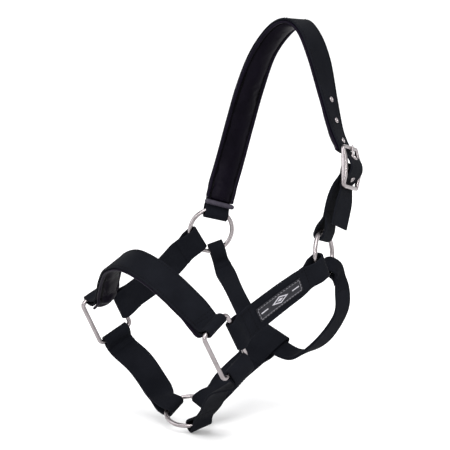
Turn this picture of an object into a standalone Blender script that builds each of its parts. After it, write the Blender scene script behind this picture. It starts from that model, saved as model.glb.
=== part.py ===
"""A padded horse headcollar: webbing straps folded and sewn round metal rings,
a padded headpiece with a buckle, a padded noseband and a throat strap.

Metres, +Z up, +X towards the nose, +Y towards the horse's near (left) side.
The origin is the middle of the headpiece's underside, where it rests behind the ears.
"""
import math

import bmesh
import bpy
from mathutils import Matrix, Vector

# Webbing
WEB_WIDTH = 0.030
WEB_THICK = 0.0022
RING_WIDTH = 0.0250       # the webbing is squeezed narrower where it folds round a ring
BAR_WIDTH = 0.0262        # and where the noseband folds round a short bar
CHIN_BAR_WIDTH = 0.0290
CHIN_RING_WIDTH = 0.0230
THROAT_WIDTH = 0.021
THROAT_RING_WIDTH = 0.016
THROAT_THICK = 0.0032
LAYER_GAP = 0.0003        # between pieces that touch
FOLD_BACK = 0.014         # sewn length behind a fold

# Metal
WIRE_RADIUS = 0.00225
RING_RADIUS = 0.0225      # to the middle of the wire
SQUARE_LONG = 0.051       # front and rear bars, corner to corner
SQUARE_SHORT = 0.0374     # top and bottom bars
SQUARE_CORNER = 0.0048
LOOP_CLEARANCE = 0.0007   # webbing loop to wire
SWING_CLEARANCE = 0.0015  # the same, where the loop rocks on an upper ring

# Padding
PAD_WIDTH = 0.031
PAD_THICK = 0.0085
LINING_THICK = 0.0012
NOSE_PAD_THICK = 0.0085
FLANGE_WIDTH = 0.0042      # sewn edge of the lining, each side of the pad
FLANGE_THICK = 0.0032
ROLL_RADIUS = 0.0027       # the lining's rolled end above the off ring

# Frame of the upper (cheek) rings; the off side is the mirror image
RING_POS = Vector((0.039, 0.088, -0.213))
RING_NORMAL = Vector((-0.45, 0.89, 0.10)).normalized()

# Frame of the square rings: "along" runs on the short bars, "up" on the long ones
SQUARE_POS = Vector((0.1697, 0.095, -0.2858))
SQUARE_ALONG = Vector((0.868, 0.166, -0.469)).normalized()
SQUARE_UP = Vector((0.479, -0.023, 0.878)).normalized()

# Frame of the lead ring under the chin, which hangs a little rolled to the near side
LEAD_POS = Vector((0.1387, 0.0, -0.3727))
LEAD_NORMAL = Vector((0.341, 0.269, 0.901)).normalized()
LEAD_BACK = Vector((-0.94, 0.10, 0.33)).normalized()

# Buckle
BUCKLE_POS = Vector((0.0076, 0.0906, -0.1302))
BUCKLE_UP = Vector((-0.16, -0.20, 0.967)).normalized()
BUCKLE_OUT = Vector((-0.45, 0.88, 0.107)).normalized()
BUCKLE_WIDTH = 0.040
BUCKLE_HEIGHT = 0.043
BUCKLE_RAIL = 0.0040
BUCKLE_THICK = 0.0034
BUCKLE_PIN_RADIUS = 0.0016
TONGUE_WIDTH = 0.0026
TONGUE_THICK = 0.0018
TONGUE_HOLE_S = -0.0091   # where the tongue passes through the strap, above the centre bar

EYELET_PITCH = 0.0215
EYELET_HOLE = 0.0014
EYELET_WALL = 0.0005
EYELET_RIM = 0.0009
EYELET_LIP = 0.0014        # how far the rim reaches beyond the hole
TONGUE_EYELET_HOLE = 0.0040

LABEL_LENGTH = 0.056
LABEL_HEIGHT = 0.0145
LABEL_THICK = 0.0008

MIRROR = Matrix.Diagonal((1.0, -1.0, 1.0)).to_3x3()

MATERIALS = {
    "webbing": ((0.016, 0.018, 0.021), 0.85, 0.0),
    "lining": ((0.030, 0.024, 0.034), 0.45, 0.0),
    "foam": ((0.020, 0.020, 0.022), 0.90, 0.0),
    "metal": ((0.60, 0.58, 0.56), 0.28, 1.0),
    "label": ((0.05, 0.05, 0.06), 0.60, 0.0),
}


def clear_scene():
    for thing in list(bpy.data.objects):
        bpy.data.objects.remove(thing, do_unlink=True)


def material(kind):
    found = bpy.data.materials.get(kind)
    if found:
        return found
    colour, roughness, metallic = MATERIALS[kind]
    made = bpy.data.materials.new(kind)
    made.use_nodes = True
    shader = made.node_tree.nodes["Principled BSDF"]
    shader.inputs["Base Color"].default_value = (*colour, 1.0)
    shader.inputs["Roughness"].default_value = roughness
    shader.inputs["Metallic"].default_value = metallic
    made.diffuse_color = (*colour, 1.0)
    return made


def add_object(name, mesh, kind, smooth=False):
    thing = bpy.data.objects.new(name, mesh)
    bpy.context.collection.objects.link(thing)
    mesh.materials.append(material(kind))
    if smooth:
        mesh.shade_smooth()
        mesh.set_sharp_from_angle(angle=math.radians(40))
    return thing


def mesh_from(name, verts, faces):
    mesh = bpy.data.meshes.new(name)
    mesh.from_pydata([tuple(v) for v in verts], [], faces)
    work = bmesh.new()
    work.from_mesh(mesh)
    bmesh.ops.recalc_face_normals(work, faces=work.faces)
    work.to_mesh(mesh)
    work.free()
    return mesh


def smoothstep(x):
    x = max(0.0, min(1.0, x))
    return x * x * (3.0 - 2.0 * x)


def spline(points, t):
    """Catmull-Rom through evenly weighted points, t from 0 to 1."""
    last = len(points) - 1
    x = t * last
    i = min(int(x), last - 1)
    f = x - i
    p1, p2 = points[i], points[i + 1]
    p0 = points[i - 1] if i > 0 else p1 * 2 - p2
    p3 = points[i + 2] if i + 2 <= last else p2 * 2 - p1
    return 0.5 * (2 * p1 + (p2 - p0) * f + (2 * p0 - 5 * p1 + 4 * p2 - p3) * f * f
                  + (3 * p1 - p0 - 3 * p2 + p3) * f * f * f)


class Run:
    """A strap's centre line with its width direction, by distance along it."""

    def __init__(self, points, across, steps=160):
        self.points = [spline(points, i / steps) for i in range(steps + 1)]
        self.across = [spline(across, i / steps) for i in range(steps + 1)]
        self.at = [0.0]
        for a, b in zip(self.points, self.points[1:]):
            self.at.append(self.at[-1] + (b - a).length)
        self.length = self.at[-1]

    def frame(self, s):
        """Centre, direction along, direction across and outward normal at distance s."""
        inside = max(0.0, min(self.length, s))
        i = 0
        while i < len(self.at) - 2 and self.at[i + 1] < inside:
            i += 1
        span = self.at[i + 1] - self.at[i]
        f = (inside - self.at[i]) / span
        centre = self.points[i].lerp(self.points[i + 1], f)
        before = self.points[max(i - 1, 0)]
        after = self.points[min(i + 2, len(self.points) - 1)]
        along = (after - before).normalized()
        across = self.across[i].lerp(self.across[i + 1], f)
        across = (across - along * across.dot(along)).normalized()
        normal = along.cross(across)
        return centre + along * (s - inside), along, across, normal


    def nearest(self, point):
        """Distance along the run of the place nearest to a point."""
        i = min(range(len(self.points)), key=lambda k: (self.points[k] - point).length)
        return self.at[i]


def sweep(name, stations, section, kind):
    """Sweep a closed section of (across, outward) points along frames; one closed body."""
    verts = []
    for (centre, _, across, normal), scale in stations:
        for v, n in section:
            verts.append(centre + across * v * scale + normal * n)
    size = len(section)
    faces = []
    for i in range(len(stations) - 1):
        for j in range(size):
            k = (j + 1) % size
            faces.append((i * size + j, i * size + k, (i + 1) * size + k, (i + 1) * size + j))
    faces.append(tuple(range(size)))
    faces.append(tuple((len(stations) - 1) * size + j for j in range(size)))
    return add_object(name, mesh_from(name, verts, faces), kind)


class Eye:
    """The fold at one end of a strap, round a wire or round another strap."""

    def __init__(self, half_gap, leg, width):
        self.half_gap = half_gap
        self.leg = leg
        self.width = width
        self.closing = 0.011


def fold_steps(run, eye, thick, lay, from_start):
    """Distances and offsets of the webbing from the fold-back's end to the main layer."""
    radius = eye.half_gap + thick / 2

    def offset(s):
        return lay + (radius - lay) * (1.0 - smoothstep((s - eye.leg) / eye.closing))

    shut = eye.leg + eye.closing
    outgoing = [shut + FOLD_BACK, shut + FOLD_BACK / 2, shut]
    outgoing += [eye.leg + eye.closing * f for f in (0.67, 0.33)] + [eye.leg]
    steps = [(s, -offset(s)) for s in outgoing]
    turns = 6
    for i in range(turns + 1):
        angle = math.pi * i / turns
        steps.append((-radius * math.sin(angle), -radius * math.cos(angle)))
    back = [eye.leg] + [eye.leg + eye.closing * f for f in (0.33, 0.67, 1.0)]
    steps += [(s, offset(s)) for s in back]
    if not from_start:
        steps = [(run.length - s, n) for s, n in reversed(steps)]
    return steps


def strap_path(run, start, end, thick, lay, pitch):
    """The whole webbing path: fold-back, fold, main layer, fold, fold-back."""
    head = fold_steps(run, start, thick, lay, True) if start else [(0.0, lay)]
    tail = fold_steps(run, end, thick, lay, False) if end else [(run.length, lay)]
    low, high = head[-1][0], tail[0][0]
    count = max(1, round((high - low) / pitch))
    middle = [(low + (high - low) * i / count, lay) for i in range(1, count)]
    return head + middle + tail


def strap(name, run, start, end, width, thick, pitch=0.010):
    """One length of webbing as a closed ribbon."""
    lay = (thick + LAYER_GAP) / 2
    path = strap_path(run, start, end, thick, lay, pitch)
    places = []
    for s, n in path:
        centre, _, across, normal = run.frame(s)
        places.append((centre + normal * n, across))
    stations = []
    for i, (centre, across) in enumerate(places):
        before = places[max(i - 1, 0)][0]
        after = places[min(i + 1, len(places) - 1)][0]
        along = (after - before).normalized()
        across = (across - along * across.dot(along)).normalized()
        s = path[i][0]
        scale = 1.0
        for eye, gone in ((start, s), (end, run.length - s)):
            if eye:
                squeeze = 1.0 - smoothstep((gone - 0.010) / 0.022)
                scale += (eye.width / width - 1.0) * squeeze
        stations.append(((centre, along, across, along.cross(across)), scale))
    columns = [-width / 2, 0.0, width / 2]
    section = [(v, -thick / 2) for v in columns] + [(v, thick / 2) for v in reversed(columns)]
    return sweep(name, stations, section, "webbing")


def ring_fold(ring, out, tangent, heading, width, clearance=LOOP_CLEARANCE):
    """The fold round a ring's wire at "out": its eye, where it starts and how the strap leaves."""
    leave = (heading - tangent * heading.dot(tangent)).normalized()
    sag = RING_RADIUS - math.sqrt(RING_RADIUS ** 2 - (width / 2) ** 2)
    tilt = leave.angle(out)
    level, lean = sag / 2 * math.cos(tilt), sag / 2 * math.sin(tilt)
    start = ring + out * (RING_RADIUS - sag / 2) - leave * (level + 0.0006)
    return Eye(WIRE_RADIUS + clearance + lean, 2 * level + 0.0026, width), start, leave


def bar_eye(width):
    return Eye(WIRE_RADIUS + LOOP_CLEARANCE, 0.0015, width)


def torus(name, radius, centre, normal, kind):
    bpy.ops.mesh.primitive_torus_add(major_radius=radius, minor_radius=WIRE_RADIUS,
                                     major_segments=28, minor_segments=6)
    ring = bpy.context.object
    ring.name = name
    ring.data.name = name
    ring.location = centre
    ring.rotation_euler = normal.to_track_quat("Z", "Y").to_euler()
    ring.data.materials.append(material(kind))
    ring.data.shade_smooth()
    return ring


def ring_directions(side):
    """Forward and upward directions in the plane of an upper ring."""
    normal = RING_NORMAL.copy()
    forward = Vector((normal.y, -normal.x, 0.0)).normalized()
    upward = (Vector((0, 0, 1)) - normal * normal.z).normalized()
    if side < 0:
        return MIRROR @ forward, MIRROR @ upward
    return forward, upward


def round_direction(forward, upward, degrees):
    """Direction out of a ring's centre, and the ring's tangent there, by angle from forward."""
    a = math.radians(degrees)
    out = forward * math.cos(a) + upward * math.sin(a)
    tangent = upward * math.cos(a) - forward * math.sin(a)
    return out, tangent


CHEEK_ANGLE = -31.0
THROAT_ANGLES = {1: -133.0, -1: -108.5}
CROWN_ANGLE = 104.5


def mirrored(vector, side):
    return vector.copy() if side > 0 else MIRROR @ vector


def square_ring(name, side):
    """A rectangle of round wire with rounded corners."""
    half_a = SQUARE_SHORT / 2 - SQUARE_CORNER
    half_b = SQUARE_LONG / 2 - SQUARE_CORNER
    along, up = mirrored(SQUARE_ALONG, side), mirrored(SQUARE_UP, side)
    up = (up - along * up.dot(along)).normalized()
    normal = along.cross(up)
    centre = mirrored(SQUARE_POS, side)
    corners = ((1, 1, 0), (-1, 1, 90), (-1, -1, 180), (1, -1, 270))
    turns, sides = 3, 6
    verts = []
    for sa, sb, begin in corners:
        for i in range(turns + 1):
            angle = math.radians(begin + 90 * i / turns)
            out = along * math.cos(angle) + up * math.sin(angle)
            middle = centre + along * sa * half_a + up * sb * half_b + out * SQUARE_CORNER
            for j in range(sides):
                turn = 2 * math.pi * j / sides
                verts.append(middle + (out * math.cos(turn) + normal * math.sin(turn)) * WIRE_RADIUS)
    rows = len(corners) * (turns + 1)
    faces = []
    for i in range(rows):
        for j in range(sides):
            k = (j + 1) % sides
            m = (i + 1) % rows
            faces.append((i * sides + j, i * sides + k, m * sides + k, m * sides + j))
    return add_object(name, mesh_from(name, verts, faces), "metal", smooth=True)


def cheek_strap(name, side):
    forward, upward = ring_directions(side)
    out, tangent = round_direction(forward, upward, CHEEK_ANGLE)
    heading = Vector((0.883, -0.049, -0.466)) if side > 0 else Vector((0.880, 0.110, -0.490))
    eye, start, leave = ring_fold(mirrored(RING_POS, side), out, tangent, heading, RING_WIDTH,
                                  SWING_CLEARANCE)
    along, up = mirrored(SQUARE_ALONG, side), mirrored(SQUARE_UP, side)
    end = mirrored(SQUARE_POS, side) - along * SQUARE_SHORT / 2
    inward = -along
    bow = Vector((0, -0.002, 0.0005)) if side > 0 else Vector((0, 0.005, -0.002))
    points = [start, start + leave * 0.020, start.lerp(end, 0.5) + bow, end + inward * 0.018, end]
    across = [tangent, tangent, tangent.lerp(up, 0.6), up, up]
    run = Run(points, [-a for a in across] if side > 0 else across)
    strap(name, run, eye, bar_eye(WEB_WIDTH), WEB_WIDTH, WEB_THICK)
    return run


def nose_profile():
    """The noseband's arch as (sideways, height) above the square rings' top bars, near to off."""
    return [(0.0944, 0.0), (0.0865, 0.0002), (0.0775, 0.0078), (0.0650, 0.0215), (0.0500, 0.0368),
            (0.0290, 0.0512), (0.0, 0.0590), (-0.0285, 0.0508), (-0.0475, 0.0355), (-0.0615, 0.0203),
            (-0.0745, 0.0070), (-0.0865, 0.0002), (-0.0944, 0.0)]


def noseband_run():
    along = Vector((SQUARE_ALONG.x, 0, SQUARE_ALONG.z)).normalized()
    up = Vector((-along.z, 0, along.x))
    bar = SQUARE_POS + SQUARE_UP * SQUARE_LONG / 2
    base = Vector((bar.x, 0, bar.z))
    whole = nose_profile()
    points = [base + Vector((0, 1, 0)) * y + up * h for y, h in whole]
    inward = Vector((0, -1, 0)) + SQUARE_ALONG * SQUARE_ALONG.y
    points[0], points[1] = bar, bar + inward * 0.008
    points[-1], points[-2] = MIRROR @ points[0], MIRROR @ points[1]
    across = [along] * len(points)
    across[0] = SQUARE_ALONG
    across[-1] = MIRROR @ SQUARE_ALONG
    return Run(points, across)


def lead_directions():
    """Rearward and near-side directions in the plane of the lead ring."""
    near = LEAD_BACK.cross(LEAD_NORMAL).normalized()
    return LEAD_NORMAL.cross(near).normalized(), near


def chin_strap(name, side):
    rear, near = lead_directions()
    out, tangent = round_direction(rear, near, 97.5 if side > 0 else -110.0)
    heading = Vector((0.136, 0.760, 0.600)) if side > 0 else Vector((-0.09, -0.86, 0.50))
    eye, start, leave = ring_fold(LEAD_POS, out, tangent, heading, CHIN_RING_WIDTH)
    along, up = mirrored(SQUARE_ALONG, side), mirrored(SQUARE_UP, side)
    end = mirrored(SQUARE_POS, side) - up * SQUARE_LONG / 2
    front = tangent if tangent.x > 0 else -tangent
    if side > 0:
        middle = [Vector((0.1465, 0.044, -0.3580)), Vector((0.1525, 0.066, -0.3340))]
        turned = [Vector((0.97, -0.05, -0.24)), Vector((0.965, 0.02, -0.28))]
    else:
        middle = [Vector((0.1445, -0.044, -0.3555)), Vector((0.1480, -0.067, -0.3345))]
        turned = [front.lerp(along, 0.4), front.lerp(along, 0.7)]
    points = [start, start + leave * 0.010, *middle, end - up * 0.014, end]
    across = [front, front, *turned, along, along]
    run = Run(points, across if side > 0 else [-a for a in across])
    strap(name, run, eye, bar_eye(CHIN_BAR_WIDTH), WEB_WIDTH, WEB_THICK)


def throat_run():
    points, across = [], []
    for side in (1, -1):
        forward, upward = ring_directions(side)
        out, tangent = round_direction(forward, upward, THROAT_ANGLES[side])
        heading = Vector((-0.55, 0.25, -0.80)) if side > 0 else Vector((-0.27, 0.145, -0.953))
        eye, start, leave = ring_fold(mirrored(RING_POS, side), out, tangent, heading,
                                      THROAT_RING_WIDTH, SWING_CLEARANCE)
        front = tangent if tangent.x > 0 else -tangent
        points.append([start, start + leave * (0.010 if side > 0 else 0.020)])
        across.append([front, front])
    drop = (THROAT_THICK + LAYER_GAP) / 2
    inside = TUNNEL - TUNNEL_ALONG.cross(TUNNEL_ACROSS).normalized() * drop
    level = -TUNNEL_ALONG
    near_to_off = [
        (Vector((0.0150, 0.0870, -0.2520)), Vector((0.92, 0.16, -0.30))),
        (Vector((0.0125, 0.0825, -0.2760)), Vector((0.95, 0.13, -0.10))),
        (Vector((0.0180, 0.0620, -0.3060)), Vector((0.95, 0.10, 0.10))),
        (Vector((0.0265, 0.0360, -0.3235)), Vector((0.95, 0.10, -0.25))),
        (inside + TUNNEL_ACROSS * 0.014, level),
        (inside, level),
        (inside - TUNNEL_ACROSS * 0.014, level),
        (Vector((0.0375, -0.0310, -0.2920)), Vector((0.98, -0.12, -0.14))),
        (Vector((0.0350, -0.0560, -0.2680)), Vector((0.99, -0.14, 0.01))),
    ]
    places = points[0] + [p for p, _ in near_to_off] + points[1][::-1]
    widths = across[0] + [w for _, w in near_to_off] + across[1][::-1]
    return Run(places, [-w for w in widths]), eye


TUNNEL = Vector((0.0350, 0.0010, -0.3162))
TUNNEL_ALONG = Vector((-0.88, 0.0, 0.48)).normalized()
TUNNEL_ACROSS = Vector((-0.20, 0.90, -0.37)).normalized()


def connector(name):
    """From the lead ring back to the tunnel that the throat strap runs through."""
    rear, near = lead_directions()
    eye, start, leave = ring_fold(LEAD_POS, rear, near, Vector((-0.835, -0.055, 0.548)), RING_WIDTH)
    room = Eye(THROAT_THICK / 2 + 0.0014, THROAT_WIDTH + 0.0015, WEB_WIDTH)
    end = TUNNEL + TUNNEL_ALONG * THROAT_WIDTH / 2
    points = [start, start + leave * 0.018, Vector((0.0870, 0.0005, -0.3455)),
              Vector((0.0600, 0.0008, -0.3300)), end - TUNNEL_ALONG * 0.022, end]
    across = [near, near, near.lerp(TUNNEL_ACROSS, 0.3), near.lerp(TUNNEL_ACROSS, 0.7),
              TUNNEL_ACROSS, TUNNEL_ACROSS]
    run = Run(points, across)
    strap(name, run, eye, room, WEB_WIDTH, WEB_THICK)
    return run


def buckle_front():
    return BUCKLE_UP.cross(BUCKLE_OUT).normalized() * -1.0


def buckle_place(s, n):
    """A point of the buckle, s below its centre bar and n outward."""
    out = (BUCKLE_OUT - BUCKLE_UP * BUCKLE_OUT.dot(BUCKLE_UP)).normalized()
    return BUCKLE_POS - BUCKLE_UP * s + out * n


def crown_half():
    """Headpiece centre line and width direction, from behind the ears down the near side."""
    return [
        (Vector((0.0000, 0.0000, 0.00865)), Vector((0.99, 0.00, 0.10))),
        (Vector((0.0020, 0.0220, -0.0011)), Vector((0.98, 0.03, 0.20))),
        (Vector((0.0065, 0.0432, -0.0262)), Vector((0.98, 0.10, 0.17))),
        (Vector((0.0095, 0.0600, -0.0620)), Vector((0.93, 0.29, 0.17))),
    ]


def headpiece_run():
    forward, upward = ring_directions(-1)
    out, tangent = round_direction(forward, upward, CROWN_ANGLE)
    heading = Vector((-0.405, -0.125, 0.906))
    eye, start, leave = ring_fold(MIRROR @ RING_POS, out, tangent, heading, RING_WIDTH)
    front_off = -tangent if tangent.x < 0 else tangent
    front = Vector((0.88, 0.42, 0.23)).normalized()
    half = crown_half()
    off = [(MIRROR @ p, MIRROR @ w) for p, w in reversed(half[1:])]
    below_off = [(Vector((0.0100, -0.0770, -0.1035)), Vector((0.91, -0.36, 0.19))),
                 (Vector((0.0155, -0.0870, -0.1440)), Vector((0.88, -0.41, 0.23)))]
    over = 0.5 * BUCKLE_HEIGHT - BUCKLE_RAIL / 2
    under = -(BUCKLE_THICK / 2 + LAYER_GAP * 3 + WEB_THICK + LAYER_GAP)
    buckle_line = [
        (Vector((0.0098, 0.0722, -0.0930)), Vector((0.88, 0.40, 0.22))),
        (buckle_place(-over - 0.002, under - 0.0022), front),
        (buckle_place(-over + 0.004, under), front),
        (buckle_place(-0.006, 0.0042), front),
        (buckle_place(0.0045, 0.0050), front),
        (buckle_place(over - 0.004, under), front),
        (buckle_place(over + 0.003, under - 0.0003), front),
    ]
    tail = [(Vector((0.0170, 0.0912, -0.1640)), front), (Vector((0.0255, 0.0935, -0.1868)), front)]
    line = [(start, front_off), (start + leave * 0.014, front_off)] + below_off[::-1] + off
    line += half + buckle_line + tail
    return Run([p for p, _ in line], [-w for _, w in line], steps=400), eye


def pad_section(width, thick):
    """Outline of a pad below the webbing: a thin sewn flange each side of a rounded middle."""
    half = width / 2
    side = [(half, 0.0), (half, -FLANGE_THICK), (half - FLANGE_WIDTH, -FLANGE_THICK),
            (half - FLANGE_WIDTH - 0.0022, 0.0018 - thick), (half - FLANGE_WIDTH - 0.0060, -thick)]
    return side + [(-v, n) for v, n in reversed(side)]


def core_section(width, thick, clear):
    """Outline of the foam core, or of the room for it when there is nothing clear of it."""
    half = width / 2 - FLANGE_WIDTH - LINING_THICK - clear
    deep = thick - LINING_THICK - clear
    side = [(half, 0.0), (half, -FLANGE_THICK - 0.0006), (half - 0.0042, -deep)]
    return side + [(-v, n) for v, n in reversed(side)]


def pad_top(s, run, eye, thick, ends):
    """Outward offset of a pad's top face: under the main layer, or under the fold-backs."""
    lay = (thick + LAYER_GAP) / 2
    top = lay - thick / 2 - LAYER_GAP
    for gone, folded in ((s, ends[0]), (run.length - s, ends[1])):
        if not folded:
            continue
        shut = eye.leg + eye.closing
        radius = eye.half_gap + thick / 2
        under = lay + (radius - lay) * (1.0 - smoothstep((gone - eye.leg) / eye.closing))
        low = -under - thick / 2 - LAYER_GAP * 1.6
        ramp = smoothstep((gone - shut - FOLD_BACK - 0.0005) / 0.010)
        top = min(top, low + (top - low) * ramp)
    return top


def pad_places(run, low, high, eye, ends, pitch=0.0100):
    """Distances of the pad's stations: evenly spaced, and closer where it steps over a fold-back."""
    shut = eye.leg + eye.closing
    step = shut + FOLD_BACK
    close = [low, (low + shut) / 2, shut, shut + FOLD_BACK / 2, step + 0.0005, step + 0.0040,
             step + 0.0075, step + 0.0110]
    head = close if ends[0] else [low]
    tail = [run.length - s for s in reversed(close)] if ends[1] else [high - 0.009, high - 0.006, high - 0.003, high]
    count = round((tail[0] - head[-1]) / pitch)
    return head + [head[-1] + (tail[0] - head[-1]) * i / count for i in range(1, count)] + tail


def pad_pieces(prefix, run, low, high, thick, eye, ends):
    """The lining and its foam core along part of a strap."""
    stations = []
    for s in pad_places(run, low, high, eye, ends):
        centre, along, across, normal = run.frame(s)
        shift = pad_top(s, run, eye, WEB_THICK, ends)
        stations.append(((centre + normal * shift, along, across, normal), 1.0))
    outline = pad_section(PAD_WIDTH, thick) + core_section(PAD_WIDTH, thick, 0.0)[::-1]
    sweep(prefix + "_lining", stations, outline, "lining")
    sweep(prefix + "_foam", stations, core_section(PAD_WIDTH, thick, LAYER_GAP * 1.5), "foam")


def cut(thing, cutter):
    cutter.hide_render = True
    cutter.display_type = "WIRE"
    boolean = thing.modifiers.new("cut " + cutter.name, "BOOLEAN")
    boolean.operation = "DIFFERENCE"
    boolean.object = cutter
    boolean.solver = "EXACT"


def block(name, centre, x_axis, y_axis, size):
    """A box cutter or blank with its own axes."""
    z_axis = x_axis.cross(y_axis).normalized()
    turn = Matrix((x_axis, y_axis, z_axis)).transposed()
    bpy.ops.mesh.primitive_cube_add(size=1.0)
    made = bpy.context.object
    made.name = name
    made.data.name = name
    made.data.transform(Matrix.Diagonal((*size, 1.0)))
    made.matrix_world = Matrix.Translation(centre) @ turn.to_4x4()
    return made


def turned(name, profile, centre, axis, kind, sides=10):
    """Revolve a closed profile of (radius, height) points round an axis."""
    turn = axis.to_track_quat("Z", "Y")
    verts = []
    for i in range(sides):
        angle = 2 * math.pi * i / sides
        for r, h in profile:
            verts.append(centre + turn @ Vector((r * math.cos(angle), r * math.sin(angle), h)))
    size = len(profile)
    faces = []
    for i in range(sides):
        k = (i + 1) % sides
        for j in range(size):
            m = (j + 1) % size
            faces.append((i * size + j, k * size + j, k * size + m, i * size + m))
    return add_object(name, mesh_from(name, verts, faces), kind, smooth=True)


def eyelet(number, strap_object, centre, normal, hole):
    """A hollow rivet through the headpiece, in a hole of its own."""
    barrel = hole + EYELET_WALL
    bpy.ops.mesh.primitive_cylinder_add(vertices=10, radius=barrel + LAYER_GAP, depth=0.006)
    drill = bpy.context.object
    drill.name = f"eyelet_drill_{number}"
    drill.location = centre
    drill.rotation_euler = normal.to_track_quat("Z", "Y").to_euler()
    cut(strap_object, drill)
    low, rim = -WEB_THICK, LAYER_GAP + EYELET_RIM
    edge = hole + EYELET_LIP
    profile = [(hole, low), (barrel, low), (barrel, LAYER_GAP), (edge, LAYER_GAP),
               (edge - 0.0005, rim), (hole, rim)]
    turned(f"eyelet_{number}", profile, centre, normal, "metal")


def eyelets(strap_object, run, lay):
    """The row of holes that the tongue can go through."""
    used = run.nearest(buckle_place(TONGUE_HOLE_S, 0.0020))
    for number, step in enumerate((-3, -2, -1, 0, 1), 1):
        centre, _, _, normal = run.frame(used + step * EYELET_PITCH)
        hole = TONGUE_EYELET_HOLE if step == 0 else EYELET_HOLE
        eyelet(number, strap_object, centre + normal * (lay + WEB_THICK / 2), normal, hole)


def buckle_frame():
    """A rectangular frame with a round centre bar."""
    front = buckle_front()
    frame = block("buckle_frame", BUCKLE_POS, front, BUCKLE_UP, (BUCKLE_WIDTH, BUCKLE_HEIGHT, BUCKLE_THICK))
    frame.data.materials.append(material("metal"))
    bevel = frame.modifiers.new("round corners", "BEVEL")
    bevel.width = 0.0012
    bevel.segments = 2
    inner = (BUCKLE_WIDTH - 2 * BUCKLE_RAIL, BUCKLE_HEIGHT - 2 * BUCKLE_RAIL, 0.02)
    window = block("buckle_window", BUCKLE_POS, front, BUCKLE_UP, inner)
    cut(frame, window)
    bpy.ops.mesh.primitive_cylinder_add(vertices=12, radius=BUCKLE_PIN_RADIUS,
                                        depth=BUCKLE_WIDTH - BUCKLE_RAIL)
    bar = bpy.context.object
    bar.name = "buckle_centre_bar"
    bar.location = BUCKLE_POS
    bar.rotation_euler = front.to_track_quat("Z", "Y").to_euler()
    bar.hide_render = True
    bar.display_type = "WIRE"
    join = frame.modifiers.new("centre bar", "BOOLEAN")
    join.operation = "UNION"
    join.object = bar
    join.solver = "EXACT"


def buckle_tongue():
    """A flat bar curled round the centre bar, its tip lying on the frame's top bar."""
    radius = BUCKLE_PIN_RADIUS + 0.0004 + TONGUE_THICK / 2
    reach = BUCKLE_HEIGHT / 2 + 0.0010
    turns = 9
    line = []
    for i in range(turns + 1):
        angle = math.radians(360 - 270 * i / turns)
        line.append((radius * math.cos(angle), radius * math.sin(angle)))
    line += [(reach * f, radius) for f in (0.3, 0.65, 0.92)] + [(reach, radius - 0.0001)]
    front = buckle_front()
    path = [buckle_place(-p, n) - BUCKLE_POS for p, n in line]
    stations = []
    for i, point in enumerate(path):
        along = (path[min(i + 1, len(path) - 1)] - path[max(i - 1, 0)]).normalized()
        scale = 1.0 if i < len(path) - 1 else 0.75
        stations.append(((point, along, front, along.cross(front)), scale))
    half, deep = TONGUE_WIDTH / 2, TONGUE_THICK / 2
    section = [(-half, -deep), (half, -deep), (half, deep), (-half, deep)]
    tongue = sweep("buckle_tongue", stations, section, "metal")
    tongue.location = BUCKLE_POS


def buckle_strap():
    """Webbing from the near upper ring to the buckle's centre bar, slotted for the tongue."""
    forward, upward = ring_directions(1)
    out, tangent = round_direction(forward, upward, CROWN_ANGLE)
    heading = Vector((-0.408, 0.106, 0.908))
    eye, start, leave = ring_fold(RING_POS, out, tangent, heading, RING_WIDTH)
    front = buckle_front()
    lean = front if tangent.x > 0 else -front
    points = [start, start + leave * 0.018, buckle_place(0.0300, -0.0135) + front * 0.008,
              buckle_place(0.0170, -0.0090) + front * 0.002, buckle_place(0.0080, -0.0042), BUCKLE_POS]
    across = [tangent, tangent, lean, lean, lean, lean]
    run = Run(points, across)
    bar = Eye(BUCKLE_PIN_RADIUS + 0.0004, 0.0010, 0.0270)
    bar.closing = 0.008
    made = strap("buckle_strap", run, eye, bar, 0.0280, WEB_THICK)
    slot = block("tongue_slot", BUCKLE_POS, front, BUCKLE_UP, (TONGUE_WIDTH + 0.0016, 0.0130, 0.0120))
    cut(made, slot)


def label_patch(run):
    """A woven name tape sewn on the near cheek strap, with no name on it."""
    lay = (WEB_THICK + LAYER_GAP) / 2
    top = lay + WEB_THICK / 2 + LAYER_GAP
    middle = run.length * 0.485
    half = LABEL_HEIGHT / 2
    section = [(-half, top), (half, top), (half, top + LABEL_THICK), (-half, top + LABEL_THICK)]
    steps = 8
    places = [middle + LABEL_LENGTH * (i / steps - 0.5) for i in range(steps + 1)]
    sweep("label_patch", [(run.frame(s), 1.0) for s in places], section, "label")


def headpiece():
    """The strap over the poll, its padding, the rolled end of the padding, and the eyelets."""
    run, eye = headpiece_run()
    lay = (WEB_THICK + LAYER_GAP) / 2
    strap_object = strap("headpiece_strap", run, eye, None, WEB_WIDTH, WEB_THICK, pitch=0.0078)
    pad_start = 0.0130
    pad_end = run.nearest(buckle_place(-BUCKLE_HEIGHT / 2 + 0.0050, -0.005))
    pad_pieces("headpiece", run, pad_start, pad_end, PAD_THICK, eye, (True, False))
    centre, _, across, normal = run.frame(pad_start - ROLL_RADIUS - 2 * LAYER_GAP)
    depth = pad_top(pad_start - 2 * ROLL_RADIUS, run, eye, WEB_THICK, (True, False)) - ROLL_RADIUS
    bpy.ops.mesh.primitive_cylinder_add(vertices=12, radius=ROLL_RADIUS, depth=PAD_WIDTH + 0.0016)
    roll = bpy.context.object
    roll.name = "headpiece_end_roll"
    roll.location = centre + normal * depth
    roll.rotation_euler = across.to_track_quat("Z", "Y").to_euler()
    roll.data.materials.append(material("lining"))
    soften = roll.modifiers.new("rounded ends", "BEVEL")
    soften.width = 0.0010
    soften.segments = 2
    eyelets(strap_object, run, lay)


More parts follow.
